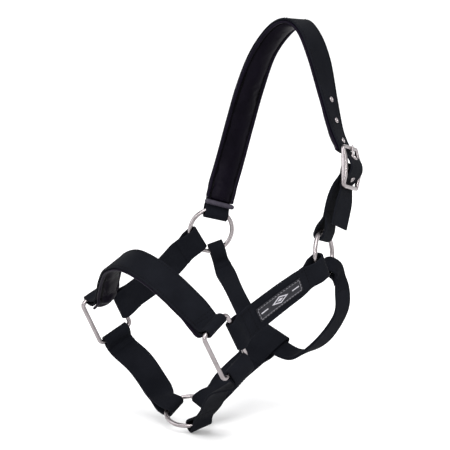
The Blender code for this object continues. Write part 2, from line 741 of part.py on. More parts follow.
def noseband():
    """The strap over the nose with its padding."""
    run = noseband_run()
    eye = bar_eye(BAR_WIDTH)
    strap("noseband_strap", run, eye, eye, WEB_WIDTH, WEB_THICK, pitch=0.0078)
    margin = 0.0070
    pad_pieces("noseband", run, margin, run.length - margin, NOSE_PAD_THICK, eye, (True, True))


def main():
    clear_scene()
    torus("near_upper_ring", RING_RADIUS, RING_POS, RING_NORMAL, "metal")
    torus("off_upper_ring", RING_RADIUS, MIRROR @ RING_POS, MIRROR @ RING_NORMAL, "metal")
    torus("lead_ring", RING_RADIUS, LEAD_POS, LEAD_NORMAL, "metal")
    for word, side in (("near", 1), ("off", -1)):
        square_ring(word + "_square_ring", side)
        run = cheek_strap(word + "_cheek_strap", side)
        if side > 0:
            label_patch(run)
        chin_strap(word + "_chin_strap", side)
    headpiece()
    noseband()
    buckle_frame()
    buckle_tongue()
    buckle_strap()
    run, eye = throat_run()
    strap("throat_strap", run, eye, eye, THROAT_WIDTH, THROAT_THICK)
    connector("throat_connector")


main()
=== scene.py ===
"""The looks of a padded headcollar of woven webbing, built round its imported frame.

Metres, +Z up, +X towards the nose, +Y towards the near (left) side, as in the CAD.
Webbing, padding, stitching and metal are fine meshes that stand for the plain CAD solids.
"""
import math

import bmesh
import bpy
from mathutils import Matrix, Vector
from mathutils.kdtree import KDTree


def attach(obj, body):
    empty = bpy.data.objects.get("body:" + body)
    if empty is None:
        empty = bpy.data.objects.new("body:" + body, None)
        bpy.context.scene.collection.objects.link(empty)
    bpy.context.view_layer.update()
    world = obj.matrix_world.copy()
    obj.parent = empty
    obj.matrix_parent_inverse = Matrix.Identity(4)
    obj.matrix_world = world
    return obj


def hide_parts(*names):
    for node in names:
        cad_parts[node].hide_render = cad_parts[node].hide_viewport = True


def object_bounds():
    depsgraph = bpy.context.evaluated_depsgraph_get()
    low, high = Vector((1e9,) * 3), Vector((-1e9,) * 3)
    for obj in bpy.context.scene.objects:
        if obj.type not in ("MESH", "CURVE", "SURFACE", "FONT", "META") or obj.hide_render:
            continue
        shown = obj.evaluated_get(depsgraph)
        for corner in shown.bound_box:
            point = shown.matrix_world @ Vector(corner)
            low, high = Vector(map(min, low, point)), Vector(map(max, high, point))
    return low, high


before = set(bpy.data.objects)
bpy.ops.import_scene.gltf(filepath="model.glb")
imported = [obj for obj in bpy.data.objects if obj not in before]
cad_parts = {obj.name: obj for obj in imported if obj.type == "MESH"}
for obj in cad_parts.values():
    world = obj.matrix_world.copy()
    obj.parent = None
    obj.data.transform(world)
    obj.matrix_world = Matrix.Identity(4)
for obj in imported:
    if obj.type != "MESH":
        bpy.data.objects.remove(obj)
CAD_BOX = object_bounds()

# Webbing
WEB_WIDTH = 0.030
WEB_THICK = 0.0022
RING_WIDTH = 0.0250
BAR_WIDTH = 0.0262
CHIN_BAR_WIDTH = 0.0290
CHIN_RING_WIDTH = 0.0230
BUCKLE_STRAP_WIDTH = 0.0280
THROAT_WIDTH = 0.021
THROAT_RING_WIDTH = 0.016
THROAT_THICK = 0.0032
LAYER_GAP = 0.0003
FOLD_BACK = 0.0055
CLOSING = 0.0125          # over which the two layers of a fold come together
PITCH = 0.0025            # between the stations of a strap
WARP = 0.0017             # between the weave's cords
WEFT = 0.0013             # between its picks
SQUEEZE_HELD = 0.0100     # how far from a fold webbing stays as wide as the fold
SQUEEZE_LENGTH = 0.0220   # over which it comes back to its own width
TAIL_TAPER = 0.0110       # over which a folded-back end is pressed flat

# Stitching
STITCH_LENGTH = 0.0024
STITCH_PITCH = 0.0036
THREAD_RADIUS = 0.00034
STITCH_SLANT = 0.14
BOX_START = 0.0010        # from where a fold has closed to its sewn rectangle
BOX_END = 0.0115
EDGE_SEAM = WEB_WIDTH / 2 - 0.0026

# Metal
WIRE_RADIUS = 0.00225
RING_RADIUS = 0.0225
SQUARE_LONG = 0.051
SQUARE_SHORT = 0.0374
SQUARE_CORNER = 0.0048
LOOP_CLEARANCE = 0.0007
SWING_CLEARANCE = 0.0015

# Padding
PAD_WIDTH = 0.031
PAD_THICK = 0.0085
FLANGE_WIDTH = 0.0042
FLANGE_THICK = 0.0032
ROLL_RADIUS = 0.0027
PAD_START = 0.0130
NOSE_MARGIN = 0.0070
SLACK = 0.0009            # how much thinner the padding starts before it is inflated
SEAM = PAD_WIDTH / 2 - FLANGE_WIDTH
PILLOW_COLUMNS = 17
PAD_STEP = 0.0026
PAD_PRESSURE = 16.0
PAD_FRAMES = 20
MOST_SWELL = 0.0012
PUCKER = 0.00028          # how far each stitch draws the sewn edge in

# Where the rings and the throat strap's tunnel are, and how they turn
RING_POS = Vector((0.039, 0.088, -0.213))
RING_NORMAL = Vector((-0.45, 0.89, 0.10)).normalized()
SQUARE_POS = Vector((0.1697, 0.095, -0.2858))
SQUARE_ALONG = Vector((0.868, 0.166, -0.469)).normalized()
SQUARE_UP = Vector((0.479, -0.023, 0.878)).normalized()
LEAD_POS = Vector((0.1387, 0.0, -0.3727))
LEAD_NORMAL = Vector((0.341, 0.269, 0.901)).normalized()
LEAD_BACK = Vector((-0.94, 0.10, 0.33)).normalized()
TUNNEL = Vector((0.0350, 0.0010, -0.3162))
TUNNEL_ALONG = Vector((-0.88, 0.0, 0.48)).normalized()
TUNNEL_ACROSS = Vector((-0.20, 0.90, -0.37)).normalized()
CHEEK_ANGLE = -31.0
THROAT_ANGLES = {1: -133.0, -1: -108.5}
CROWN_ANGLE = 104.5

# Buckle, tongue and eyelets
BUCKLE_POS = Vector((0.0076, 0.0906, -0.1302))
BUCKLE_UP = Vector((-0.16, -0.20, 0.967)).normalized()
BUCKLE_OUT = Vector((-0.45, 0.88, 0.107)).normalized()
BUCKLE_WIDTH = 0.040
BUCKLE_HEIGHT = 0.043
BUCKLE_RAIL = 0.0040
BUCKLE_THICK = 0.0034
BUCKLE_PIN_RADIUS = 0.0016
TONGUE_WIDTH = 0.0026
TONGUE_THICK = 0.0018
TONGUE_HOLE_S = -0.0091
EYELET_PITCH = 0.0215
EYELET_HOLE = 0.0014
EYELET_WALL = 0.0005
EYELET_RIM = 0.0009
EYELET_LIP = 0.0014
TONGUE_EYELET_HOLE = 0.0029

# Name tape
LABEL_LENGTH = 0.056
LABEL_HEIGHT = 0.0145
LABEL_THICK = 0.0008

MIRROR = Matrix.Diagonal((1.0, -1.0, 1.0)).to_3x3()

# Studio
FLOOR_RADIUS = 14.0
LIT_POINT = (0.09, 0.0, -0.19)
CAMERA_SPOT = (1.3406, 1.5256, 0.1470)
CAMERA_TARGET = (0.092, 0.0, -0.190)


# ---------------------------------------------------------------- materials

class Nodes:
    """Short calls for building one material's node tree."""

    def __init__(self, name):
        self.material = bpy.data.materials.new(name)
        self.material.use_nodes = True
        self.tree = self.material.node_tree
        self.shader = self.tree.nodes["Principled BSDF"]

    def node(self, kind, **values):
        made = self.tree.nodes.new(kind)
        for key, value in values.items():
            setattr(made, key, value)
        return made

    def link(self, source, target):
        self.tree.links.new(source, target)

    def math(self, operation, a, b=None, c=None):
        made = self.node("ShaderNodeMath", operation=operation)
        for socket, value in zip(made.inputs, (a, b, c)):
            if value is None:
                continue
            if isinstance(value, (int, float)):
                socket.default_value = value
            else:
                self.link(value, socket)
        return made.outputs[0]

    def times(self, a, b):
        return self.math("MULTIPLY", a, b)

    def plus(self, a, b):
        return self.math("ADD", a, b)

    def noise(self, vector, scale, detail=4.0, roughness=0.6):
        made = self.node("ShaderNodeTexNoise")
        made.inputs["Scale"].default_value = scale
        made.inputs["Detail"].default_value = detail
        made.inputs["Roughness"].default_value = roughness
        self.link(vector, made.inputs["Vector"])
        return made.outputs["Fac"]

    def object_place(self):
        return self.node("ShaderNodeTexCoord").outputs["Object"]

    def lay(self):
        """Distance along the webbing, and across it, in metres."""
        attribute = self.node("ShaderNodeAttribute", attribute_name="lay")
        split = self.node("ShaderNodeSeparateXYZ")
        self.link(attribute.outputs["Vector"], split.inputs[0])
        return split.outputs["X"], split.outputs["Y"]

    def ramp(self, factor, *stops):
        made = self.node("ShaderNodeValToRGB")
        elements = made.color_ramp.elements
        while len(elements) < len(stops):
            elements.new(0.5)
        for element, (place, colour) in zip(elements, stops):
            element.position = place
            element.color = (*colour, 1.0)
        self.link(factor, made.inputs["Fac"])
        return made.outputs["Color"]

    def spread(self, factor, low, high):
        """A 0-to-1 value laid between two others."""
        made = self.node("ShaderNodeMapRange")
        made.inputs["To Min"].default_value = low
        made.inputs["To Max"].default_value = high
        self.link(factor, made.inputs["Value"])
        return made.outputs["Result"]

    def mix(self, factor, a, b):
        made = self.node("ShaderNodeMix", data_type="RGBA")
        self.link(factor, made.inputs["Factor"])
        for key, value in (("A", a), ("B", b)):
            socket = next(s for s in made.inputs if s.name == key and s.type == "RGBA")
            if isinstance(value, tuple):
                socket.default_value = (*value, 1.0)
            else:
                self.link(value, socket)
        return next(s for s in made.outputs if s.type == "RGBA")

    def bump(self, height, strength, distance, below=None):
        made = self.node("ShaderNodeBump")
        made.inputs["Strength"].default_value = strength
        made.inputs["Distance"].default_value = distance
        self.link(height, made.inputs["Height"])
        if below:
            self.link(below, made.inputs["Normal"])
        return made.outputs["Normal"]

    def surface(self, colour=None, roughness=None, normal=None, **constants):
        for key, source in (("Base Color", colour), ("Roughness", roughness), ("Normal", normal)):
            if source:
                self.link(source, self.shader.inputs[key])
        for key, value in constants.items():
            self.shader.inputs[key.replace("_", " ")].default_value = value
        return self.material


def webbing_material(name, dark, light):
    """A close, matt weave: cords lengthwise, picks across, a little fluff and fading."""
    n = Nodes(name)
    along, across = n.lay()
    cord = n.math("SINE", n.times(across, 2 * math.pi / WARP))
    pick = n.math("SINE", n.times(along, 2 * math.pi / WEFT))
    weave = n.plus(n.times(n.times(cord, pick), 0.5), n.times(cord, 0.35))
    place = n.object_place()
    broad = n.noise(place, 38.0, 5.0)
    fluff = n.noise(place, 1400.0, 3.0, 0.7)
    tone = n.plus(n.times(weave, 0.16), n.plus(n.times(broad, 0.62), n.times(fluff, 0.30)))
    colour = n.ramp(tone, (0.22, dark), (0.80, light))
    roughness = n.spread(fluff, 0.74, 0.94)
    fine = n.bump(fluff, 0.12, 0.0002)
    normal = n.bump(weave, 0.30, 0.00022, fine)
    return n.surface(colour, roughness, normal, Specular_IOR_Level=0.035, Sheen_Weight=0.004,
                     Sheen_Roughness=0.45)


def lining_material(name, dark, light, gloss):
    """Soft leather: fine pebbled grain, a low gloss, sewn edges coloured lighter, and painted shade along
    the seam grooves.
    """
    n = Nodes(name)
    place = n.object_place()
    cells = n.node("ShaderNodeTexVoronoi", feature="DISTANCE_TO_EDGE")
    cells.inputs["Scale"].default_value = 820.0
    n.link(place, cells.inputs["Vector"])
    grain = n.math("MINIMUM", n.times(cells.outputs["Distance"], 5.0), 1.0)
    creases = n.noise(place, 210.0, 5.0, 0.65)
    broad = n.noise(place, 30.0, 4.0)
    tone = n.plus(n.times(broad, 0.65), n.times(creases, 0.35))
    side = n.math("ABSOLUTE", n.lay()[1])
    # A thin band along each seam groove, where shade is painted in
    groove_painted_shade = n.math("COMPARE", side, SEAM - 0.0002, 0.0009)
    flange = n.math("GREATER_THAN", side, SEAM + 0.0007)
    # The sewn edges (flanges) are coloured lighter than the pillow between them
    edge_dark, edge_light = tuple(1.7 * c for c in dark), tuple(1.9 * c for c in light)
    flange_tone = n.mix(flange, n.ramp(tone, (0.30, dark), (0.72, light)),
                 n.ramp(tone, (0.30, edge_dark), (0.72, edge_light)))
    # Painted shade: the seam grooves are coloured nearly black
    colour = n.mix(groove_painted_shade, flange_tone, (0.0006, 0.0005, 0.0008))
    roughness = n.spread(creases, 0.34, 0.56)
    soft = n.bump(creases, 0.22, 0.0006)
    normal = n.bump(grain, 0.20, 0.00014, soft)
    return n.surface(colour, roughness, normal, Specular_IOR_Level=gloss)


def metal_material():
    """Satin nickel: faint polishing lines, cloudy gloss, a warm cast."""
    n = Nodes("satin_nickel")
    place = n.object_place()
    cloud = n.noise(place, 85.0, 5.0)
    lines = n.noise(place, 2600.0, 2.0, 0.7)
    colour = n.ramp(cloud, (0.30, (0.225, 0.203, 0.207)), (0.70, (0.36, 0.329, 0.336)))
    roughness = n.spread(n.plus(n.times(cloud, 0.7), n.times(lines, 0.3)),
                         0.15, 0.36)
    return n.surface(colour, roughness, n.bump(lines, 0.05, 0.0001), Metallic=1.0)


def thread_material(name, dark, light):
    """Sewing thread, lighter and darker with its twist."""
    n = Nodes(name)
    place = n.object_place()
    twist = n.noise(place, 2400.0, 2.0)
    colour = n.ramp(twist, (0.3, dark), (0.7, light))
    return n.surface(colour, n.spread(twist, 0.5, 0.7), n.bump(twist, 0.3, 0.0002),
                     Specular_IOR_Level=0.06)


def label_material():
    """Woven tape: dark ground, lighter border, a dash at each end and a plain lozenge between."""
    n = Nodes("woven_label")
    along, across = n.lay()
    side = n.math("ABSOLUTE", across)
    reach = n.math("ABSOLUTE", along)
    half_l, half_h = LABEL_LENGTH / 2, LABEL_HEIGHT / 2
    edge = n.math("MAXIMUM", n.math("SUBTRACT", side, half_h), n.math("SUBTRACT", reach, half_l))
    border = n.math("COMPARE", edge, -0.0014, 0.00055)
    dash = n.times(n.math("COMPARE", reach, half_l - 0.0080, 0.0044),
                  n.math("COMPARE", side, 0.0, 0.00055))
    slope = n.plus(n.times(reach, 0.36), side)
    lozenge = n.plus(n.math("COMPARE", slope, 0.0032, 0.0006), n.math("LESS_THAN", slope, 0.0014))
    marks = n.math("MINIMUM", n.plus(n.times(border, 0.22),
                                     n.plus(n.times(dash, 0.85),
                                            n.times(lozenge, 0.75))), 1.0)
    threads = n.times(n.math("SINE", n.times(along, 2 * math.pi / 0.0009)),
                     n.math("SINE", n.times(across, 2 * math.pi / 0.0007)))
    grey = n.noise(n.object_place(), 420.0, 3.0)
    ground = n.ramp(grey, (0.3, (0.0105, 0.0105, 0.0135)), (0.7, (0.024, 0.024, 0.029)))
    colour = n.mix(marks, ground, (0.50, 0.49, 0.53))
    height = n.plus(n.times(threads, 0.4), marks)
    return n.surface(colour, n.spread(grey, 0.5, 0.75), n.bump(height, 0.35, 0.0002),
                     Specular_IOR_Level=0.12)


def floor_material():
    n = Nodes("pale_floor")
    cloud = n.noise(n.object_place(), 3.0, 2.0)
    colour = n.ramp(cloud, (0.3, (0.90, 0.90, 0.90)), (0.7, (0.93, 0.93, 0.93)))
    return n.surface(colour, Roughness=0.9, Specular_IOR_Level=0.1)


MATERIALS = {
    "webbing": webbing_material("webbing_weave", (0.0026, 0.0029, 0.0043), (0.0084, 0.0092, 0.0126)),
    "lining": lining_material("lining_leather", (0.0012, 0.0008, 0.0022), (0.0040, 0.0029, 0.0064), 0.032),
    # The rolled end is the lining leather painted several times lighter, with more gloss: a painted
    # highlight on the roll
    "roll": lining_material("rolled_leather_painted_highlight", (0.0100, 0.0086, 0.0132), (0.0215, 0.0188, 0.0262), 0.20),
    "metal": metal_material(),
    "thread": thread_material("sewing_thread", (0.0009, 0.0009, 0.0013), (0.0030, 0.0031, 0.0044)),
    "lining_thread": thread_material("lining_thread", (0.0009, 0.0007, 0.0013), (0.0026, 0.0021, 0.0036)),
    "label": label_material(),
}


# ----------------------------------------------------------------- geometry

def smoothstep(x):
    x = max(0.0, min(1.0, x))
    return x * x * (3.0 - 2.0 * x)


def closing_ease(x):
    """How far two layers have come together: nearly straight, as webbing pulled tight."""
    x = max(0.0, min(1.0, x))
    return 0.55 * x + 0.45 * smoothstep(x)


def circle(count):
    """The cosine and sine of evenly spaced angles."""
    angles = [2 * math.pi * i / count for i in range(count)]
    return [(math.cos(a), math.sin(a)) for a in angles]


def spline(points, t):
    """Catmull-Rom through evenly weighted points, t from 0 to 1."""
    last = len(points) - 1
    x = t * last
    i = min(int(x), last - 1)
    f = x - i
    p1, p2 = points[i], points[i + 1]
    p0 = points[i - 1] if i > 0 else p1 * 2 - p2
    p3 = points[i + 2] if i + 2 <= last else p2 * 2 - p1
    return 0.5 * (2 * p1 + (p2 - p0) * f + (2 * p0 - 5 * p1 + 4 * p2 - p3) * f * f
                  + (3 * p1 - p0 - 3 * p2 + p3) * f * f * f)


class Run:
    """A strap's centre line with its width direction, by distance along it."""

    def __init__(self, points, across, steps=160):
        self.points = [spline(points, i / steps) for i in range(steps + 1)]
        self.across = [spline(across, i / steps) for i in range(steps + 1)]
        self.at = [0.0]
        for a, b in zip(self.points, self.points[1:]):
            self.at.append(self.at[-1] + (b - a).length)
        self.length = self.at[-1]

    def frame(self, s):
        """Centre, direction along, direction across and outward normal at distance s."""
        inside = max(0.0, min(self.length, s))
        i = 0
        while i < len(self.at) - 2 and self.at[i + 1] < inside:
            i += 1
        span = self.at[i + 1] - self.at[i]
        f = (inside - self.at[i]) / span
        centre = self.points[i].lerp(self.points[i + 1], f)
        last = len(self.points) - 1
        before = (self.points[i] - self.points[max(i - 1, 0)]) + (self.points[i + 1] - self.points[i])
        after = (self.points[i + 1] - self.points[i]) + (self.points[min(i + 2, last)] - self.points[i + 1])
        along = before.normalized().lerp(after.normalized(), f).normalized()
        across = self.across[i].lerp(self.across[i + 1], f)
        across = (across - along * across.dot(along)).normalized()
        return centre + along * (s - inside), along, across, along.cross(across)

    def nearest(self, point):
        i = min(range(len(self.points)), key=lambda k: (self.points[k] - point).length)
        return self.at[i]


class Eye:
    """The fold at one end of a strap, round a wire or round another strap."""

    def __init__(self, half_gap, leg, width, closing=CLOSING):
        self.half_gap = half_gap
        self.leg = leg
        self.width = width
        self.closing = closing
        self.shut = leg + closing

    def offset(self, s, thick):
        """How far the middle of each layer is from the centre line, s away from the fold."""
        lay, radius = layer_offset(thick), self.half_gap + thick / 2
        return lay + (radius - lay) * (1.0 - closing_ease((s - self.leg) / self.closing))


def layer_offset(thick):
    """How far the middle of a layer is from the line between two layers that lie together."""
    return (thick + LAYER_GAP) / 2


def fold_steps(run, eye, thick, from_start):
    """Distances and offsets of the webbing from the fold-back's end to the main layer."""
    radius = eye.half_gap + thick / 2
    outgoing = [eye.shut + FOLD_BACK * f for f in (1.0, 0.83, 0.66, 0.5, 0.33, 0.16, 0.0)]
    outgoing += [eye.leg + eye.closing * f for f in (0.8, 0.6, 0.4, 0.2)] + [eye.leg]
    steps = [(s, -eye.offset(s, thick)) for s in outgoing]
    turns = 14
    for i in range(turns + 1):
        angle = math.pi * i / turns
        steps.append((-radius * math.sin(angle), -radius * math.cos(angle)))
    back = [eye.leg] + [eye.leg + eye.closing * f for f in (0.2, 0.4, 0.6, 0.8, 1.0)]
    steps += [(s, eye.offset(s, thick)) for s in back]
    if not from_start:
        steps = [(run.length - s, n) for s, n in reversed(steps)]
    return steps


def strap_path(run, start, end, thick):
    """The whole webbing path: fold-back, fold, main layer, fold, fold-back."""
    lay = layer_offset(thick)
    head = fold_steps(run, start, thick, True) if start else [(0.0, lay)]
    tail = fold_steps(run, end, thick, False) if end else [(run.length, lay)]
    low, high = head[-1][0], tail[0][0]
    count = max(1, round((high - low) / PITCH))
    middle = [(low + (high - low) * i / count, lay) for i in range(1, count)]
    return head + middle + tail


def add_mesh(name, verts, faces, kind, body, nodes=(), lay=None, sharp=45.0):
    """One closed mesh with its material, weave coordinates, body and replaced nodes."""
    mesh = bpy.data.meshes.new(name)
    mesh.from_pydata([tuple(v) for v in verts], [], faces)
    work = bmesh.new()
    work.from_mesh(mesh)
    bmesh.ops.recalc_face_normals(work, faces=work.faces)
    work.to_mesh(mesh)
    work.free()
    if lay:
        store_lay(mesh, lay)
    mesh.shade_smooth()
    mesh.set_sharp_from_angle(angle=math.radians(sharp))
    mesh.materials.append(MATERIALS[kind])
    piece = bpy.data.objects.new(name, mesh)
    bpy.context.collection.objects.link(piece)
    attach(piece, body)
    if nodes:
        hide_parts(*nodes)
    return piece


def store_lay(mesh, lay):
    """Keep each vertex's place on the webbing, which the weave follows."""
    attribute = mesh.attributes.get("lay") or mesh.attributes.new("lay", "FLOAT_VECTOR", "POINT")
    flat = [c for triple in lay for c in triple]
    attribute.data.foreach_set("vector", flat)


def tube_faces(rows, size, closed=False):
    """Quads of a grid of rings, with end caps unless it closes on itself."""
    faces = []
    for i in range(rows if closed else rows - 1):
        m = (i + 1) % rows
        for j in range(size):
            k = (j + 1) % size
            faces.append((i * size + j, i * size + k, m * size + k, m * size + j))
    if not closed:
        faces.append(tuple(range(size)))
        faces.append(tuple((rows - 1) * size + j for j in range(size)))
    return faces


def shifted(faces, first):
    """The same faces for vertices that start at number first."""
    return [tuple(first + k for k in face) for face in faces]


def web_section(width, thick):
    """Webbing cut across: flat faces, a plump selvedge and rounded edges."""
    half = thick / 2
    side = [(-1.0, 0.38), (-0.985, 0.78), (-0.95, 0.98), (-0.90, 1.0), (-0.84, 0.93)]
    flat = [(f, 0.95) for f in (-0.66, -0.44, -0.22, 0.0, 0.22, 0.44, 0.66)]
    top = side + flat + [(-v, n) for v, n in reversed(side)]
    outline = [(v * width / 2, n * half) for v, n in top]
    return outline + [(v, -n) for v, n in reversed(outline)]


def strap_stations(run, start, end, width, thick):
    """The places, directions, width scale and distance gone at each step of a strap's path."""
    path = strap_path(run, start, end, thick)
    places = []
    for s, n in path:
        centre, _, across, normal = run.frame(s)
        places.append((centre + normal * n, across))
    stations, gone_by = [], 0.0
    for i, (centre, across) in enumerate(places):
        before = places[max(i - 1, 0)][0]
        after = places[min(i + 1, len(places) - 1)][0]
        if i:
            gone_by += (centre - places[i - 1][0]).length
        along = (after - before).normalized()
        across = (across - along * across.dot(along)).normalized()
        scale = squeeze_at(path[i][0], run, start, end, width)
        stations.append((centre, along, across, along.cross(across), scale, gone_by))
    return stations, gone_by


def tail_press(gone, eye):
    """How thick a folded-back end is, pressed flat against the main layer where it stops."""
    return 0.10 + 0.90 * smoothstep(gone / TAIL_TAPER) if eye else 1.0


def squeeze_at(s, run, start, end, width):
    """How much narrower webbing is where it is drawn together in its folds."""
    scale = 1.0
    for eye, gone in ((start, s), (end, run.length - s)):
        if eye:
            held = 1.0 - smoothstep((gone - SQUEEZE_HELD) / SQUEEZE_LENGTH)
            scale += (eye.width / width - 1.0) * held
    return scale


def strap(name, run, start, end, width, thick, body, nodes, drills=()):
    """One length of webbing, folded at its ends, with any holes punched through."""
    stations, total = strap_stations(run, start, end, width, thick)
    section = web_section(width, thick)
    verts, lay = [], []
    for centre, _, across, normal, scale, gone in stations:
        pressed = tail_press(gone, start) * tail_press(total - gone, end)
        for v, n in section:
            inward = n * pressed - (1.0 - pressed) * thick * 0.48
            verts.append(centre + across * v * scale + normal * inward)
            lay.append((gone, v, n))
    faces = tube_faces(len(stations), len(section))
    piece = add_mesh(name, verts, faces, "webbing", body, nodes, lay)
    if drills:
        punch(piece, drills, stations)
    return piece


def punch(piece, drills, stations):
    """Cut holes, then give the new vertices the weave coordinates of the old ones beside them."""
    for drill in drills:
        boolean = piece.modifiers.new("hole", "BOOLEAN")
        boolean.operation = "DIFFERENCE"
        boolean.object = drill
        boolean.solver = "EXACT"
    graph = bpy.context.evaluated_depsgraph_get()
    done = bpy.data.meshes.new_from_object(piece.evaluated_get(graph))
    piece.modifiers.clear()
    tree = KDTree(len(stations))
    for i, station in enumerate(stations):
        tree.insert(station[0], i)
    tree.balance()
    lay = []
    for vertex in done.vertices:
        _, i, _ = tree.find(vertex.co)
        centre, along, across, normal, scale, gone = stations[i]
        away = vertex.co - centre
        lay.append((gone + away.dot(along), away.dot(across) / scale, away.dot(normal)))
    store_lay(done, lay)
    done.shade_smooth()
    done.set_sharp_from_angle(angle=math.radians(45.0))
    piece.data = done
    for drill in drills:
        bpy.data.objects.remove(drill, do_unlink=True)


def placed_cutter(matrix):
    """The solid made last, as a cutter. It is taken away once it has been used."""
    made = bpy.context.object
    made.name = "cutter"
    made.matrix_world = matrix
    return made


def round_cutter(centre, normal, radius):
    bpy.ops.mesh.primitive_cylinder_add(vertices=32, radius=radius, depth=0.006)
    turn = normal.to_track_quat("Z", "Y").to_matrix().to_4x4()
    return placed_cutter(Matrix.Translation(centre) @ turn)


def slot_cutter(centre, x_axis, y_axis, size):
    bpy.ops.mesh.primitive_cube_add(size=1.0)
    turn = Matrix((x_axis, y_axis, x_axis.cross(y_axis).normalized())).transposed()
    return placed_cutter(Matrix.Translation(centre) @ turn.to_4x4() @ Matrix.Diagonal((*size, 1.0)))


# ---------------------------------------------------------------- stitching

def thread_mesh(name, places, body, kind="thread"):
    """Short slanting stitches of round thread, each lying half sunk in the surface."""
    rings = [(-1.0, 0.15), (-0.82, 0.72), (-0.35, 1.0), (0.35, 1.0), (0.82, 0.72), (1.0, 0.15)]
    section = circle(6)
    verts, faces = [], []
    for centre, along, normal in places:
        across = along.cross(normal).normalized()
        run = (along + across * STITCH_SLANT).normalized()
        side = run.cross(normal).normalized()
        first = len(verts)
        for reach, fat in rings:
            sink = (1.0 - abs(reach) ** 3) * THREAD_RADIUS * 0.55 - THREAD_RADIUS * 0.35
            middle = centre + run * reach * STITCH_LENGTH / 2 + normal * sink
            verts += [middle + (side * c + normal * s) * THREAD_RADIUS * fat for c, s in section]
        faces += shifted(tube_faces(len(rings), len(section)), first)
    return add_mesh(name, verts, faces, kind, body, sharp=80.0)


def seam_along(run, low, high, v, height, width=WEB_WIDTH, start=None, end=None):
    """Stitch places along a strap's outer face, v across it."""
    count = max(1, round((high - low) / STITCH_PITCH))
    places = []
    for i in range(count + 1):
        s = low + (high - low) * i / count
        centre, along, across, normal = run.frame(s)
        scale = squeeze_at(s, run, start, end, width)
        places.append((centre + across * v * scale + normal * height, along, normal))
    return places


def seam_across(run, s, reach, height, scale=1.0):
    """Stitch places across a strap at distance s."""
    centre, _, across, normal = run.frame(s)
    count = round(2 * reach * scale / STITCH_PITCH)
    return [(centre + across * (2 * i / count - 1) * reach * scale + normal * height, across, normal)
            for i in range(count + 1)]


def box_stitch(run, near, far, width, height, start=None, end=None):
    """The sewn rectangle behind a fold."""
    reach = width / 2 - 0.0030
    low, high = min(near, far), max(near, far)
    places = seam_along(run, low, high, reach, height, width, start, end)
    places += seam_along(run, low, high, -reach, height, width, start, end)
    for s in (low, high):
        places += seam_across(run, s, reach, height, squeeze_at(s, run, start, end, width))
    return places


def sew_folds(name, run, start, end, width=WEB_WIDTH, thick=WEB_THICK, past=-BOX_START):
    """A sewn rectangle behind the fold at each end of a strap, on the lower body."""
    top = thick + LAYER_GAP / 2
    near, far = start.shut, run.length - end.shut
    places = box_stitch(run, near + BOX_START, near + BOX_END, width, top, start, end)
    places += box_stitch(run, far + past, far - BOX_END, width, top, start, end)
    thread_mesh(name, places, "lower")


# -------------------------------------------------------------------- metal

def wire_ring(name, centre, normal, body):
    """A round ring of wire with a faint welded joint."""
    turn = normal.to_track_quat("Z", "Y")
    rows, sides = 96, 24
    verts = []
    for i, (x, y) in enumerate(circle(rows)):
        out = Vector((x, y, 0))
        joint = 1.0 + 0.035 * math.exp(-((i - rows / 2) / 1.1) ** 2)
        for c, s in circle(sides):
            offset = (out * c + Vector((0, 0, 1)) * s) * WIRE_RADIUS * joint
            verts.append(centre + turn @ (out * RING_RADIUS + offset))
    add_mesh(name + "_wire", verts, tube_faces(rows, sides, closed=True), "metal", body, (name,))


def bent_corners(centre, a, b, half_a, half_b, corner, steps):
    """A rectangle's rounded corners, as a closed line of (place, outward) pairs."""
    line = []
    for sa, sb, begin in ((1, 1, 0), (-1, 1, 90), (-1, -1, 180), (1, -1, 270)):
        for i in range(steps + 1):
            angle = math.radians(begin + 90 * i / steps)
            out = a * math.cos(angle) + b * math.sin(angle)
            line.append((centre + a * sa * half_a + b * sb * half_b + out * corner, out))
    return line


def filled_in(line, steps):
    """Extra places along the straight sides of a closed line of (place, outward) pairs."""
    full = []
    for i, (place, way) in enumerate(line):
        after = line[(i + 1) % len(line)][0]
        full.append((place, way))
        if (after - place).length > 0.004:
            for k in range(1, steps):
                full.append((place.lerp(after, k / steps), way))
    return full


def square_wire(name, side):
    """A rectangle of round wire bent at its corners."""
    half_a = SQUARE_SHORT / 2 - SQUARE_CORNER
    half_b = SQUARE_LONG / 2 - SQUARE_CORNER
    along, up = mirrored(SQUARE_ALONG, side), mirrored(SQUARE_UP, side)
    up = (up - along * up.dot(along)).normalized()
    normal = along.cross(up)
    centre = mirrored(SQUARE_POS, side)
    line = filled_in(bent_corners(centre, along, up, half_a, half_b, SQUARE_CORNER, 10), 6)
    section = circle(20)
    verts = [middle + (out * c + normal * s) * WIRE_RADIUS for middle, out in line for c, s in section]
    faces = tube_faces(len(line), len(section), closed=True)
    add_mesh(name + "_wire", verts, faces, "metal", "lower", (name,))


def turned(name, profile, centre, axis, body, nodes, sides=40):
    """A closed profile of (radius, height) points turned round an axis."""
    turn = axis.to_track_quat("Z", "Y")
    verts = []
    for c, s in circle(sides):
        verts += [centre + turn @ Vector((r * c, r * s, h)) for r, h in profile]
    faces = tube_faces(sides, len(profile), closed=True)
    add_mesh(name, verts, faces, "metal", body, nodes, sharp=60.0)


def eyelet(number, centre, normal, hole):
    """A hollow rivet with a rolled rim."""
    barrel, edge = hole + EYELET_WALL, hole + EYELET_LIP
    middle, half = (barrel + edge) / 2 - 0.0001, (edge - hole) / 2
    rim = [(middle + half * math.cos(math.radians(a)), LAYER_GAP + EYELET_RIM * math.sin(math.radians(a)))
           for a in range(0, 181, 15)]
    profile = [(hole, -WEB_THICK), (barrel, -WEB_THICK), (barrel, LAYER_GAP)] + rim
    profile[-1] = (hole, LAYER_GAP)
    turned(f"eyelet_{number}_rivet", profile, centre, normal, "headpiece", (f"eyelet_{number}",))


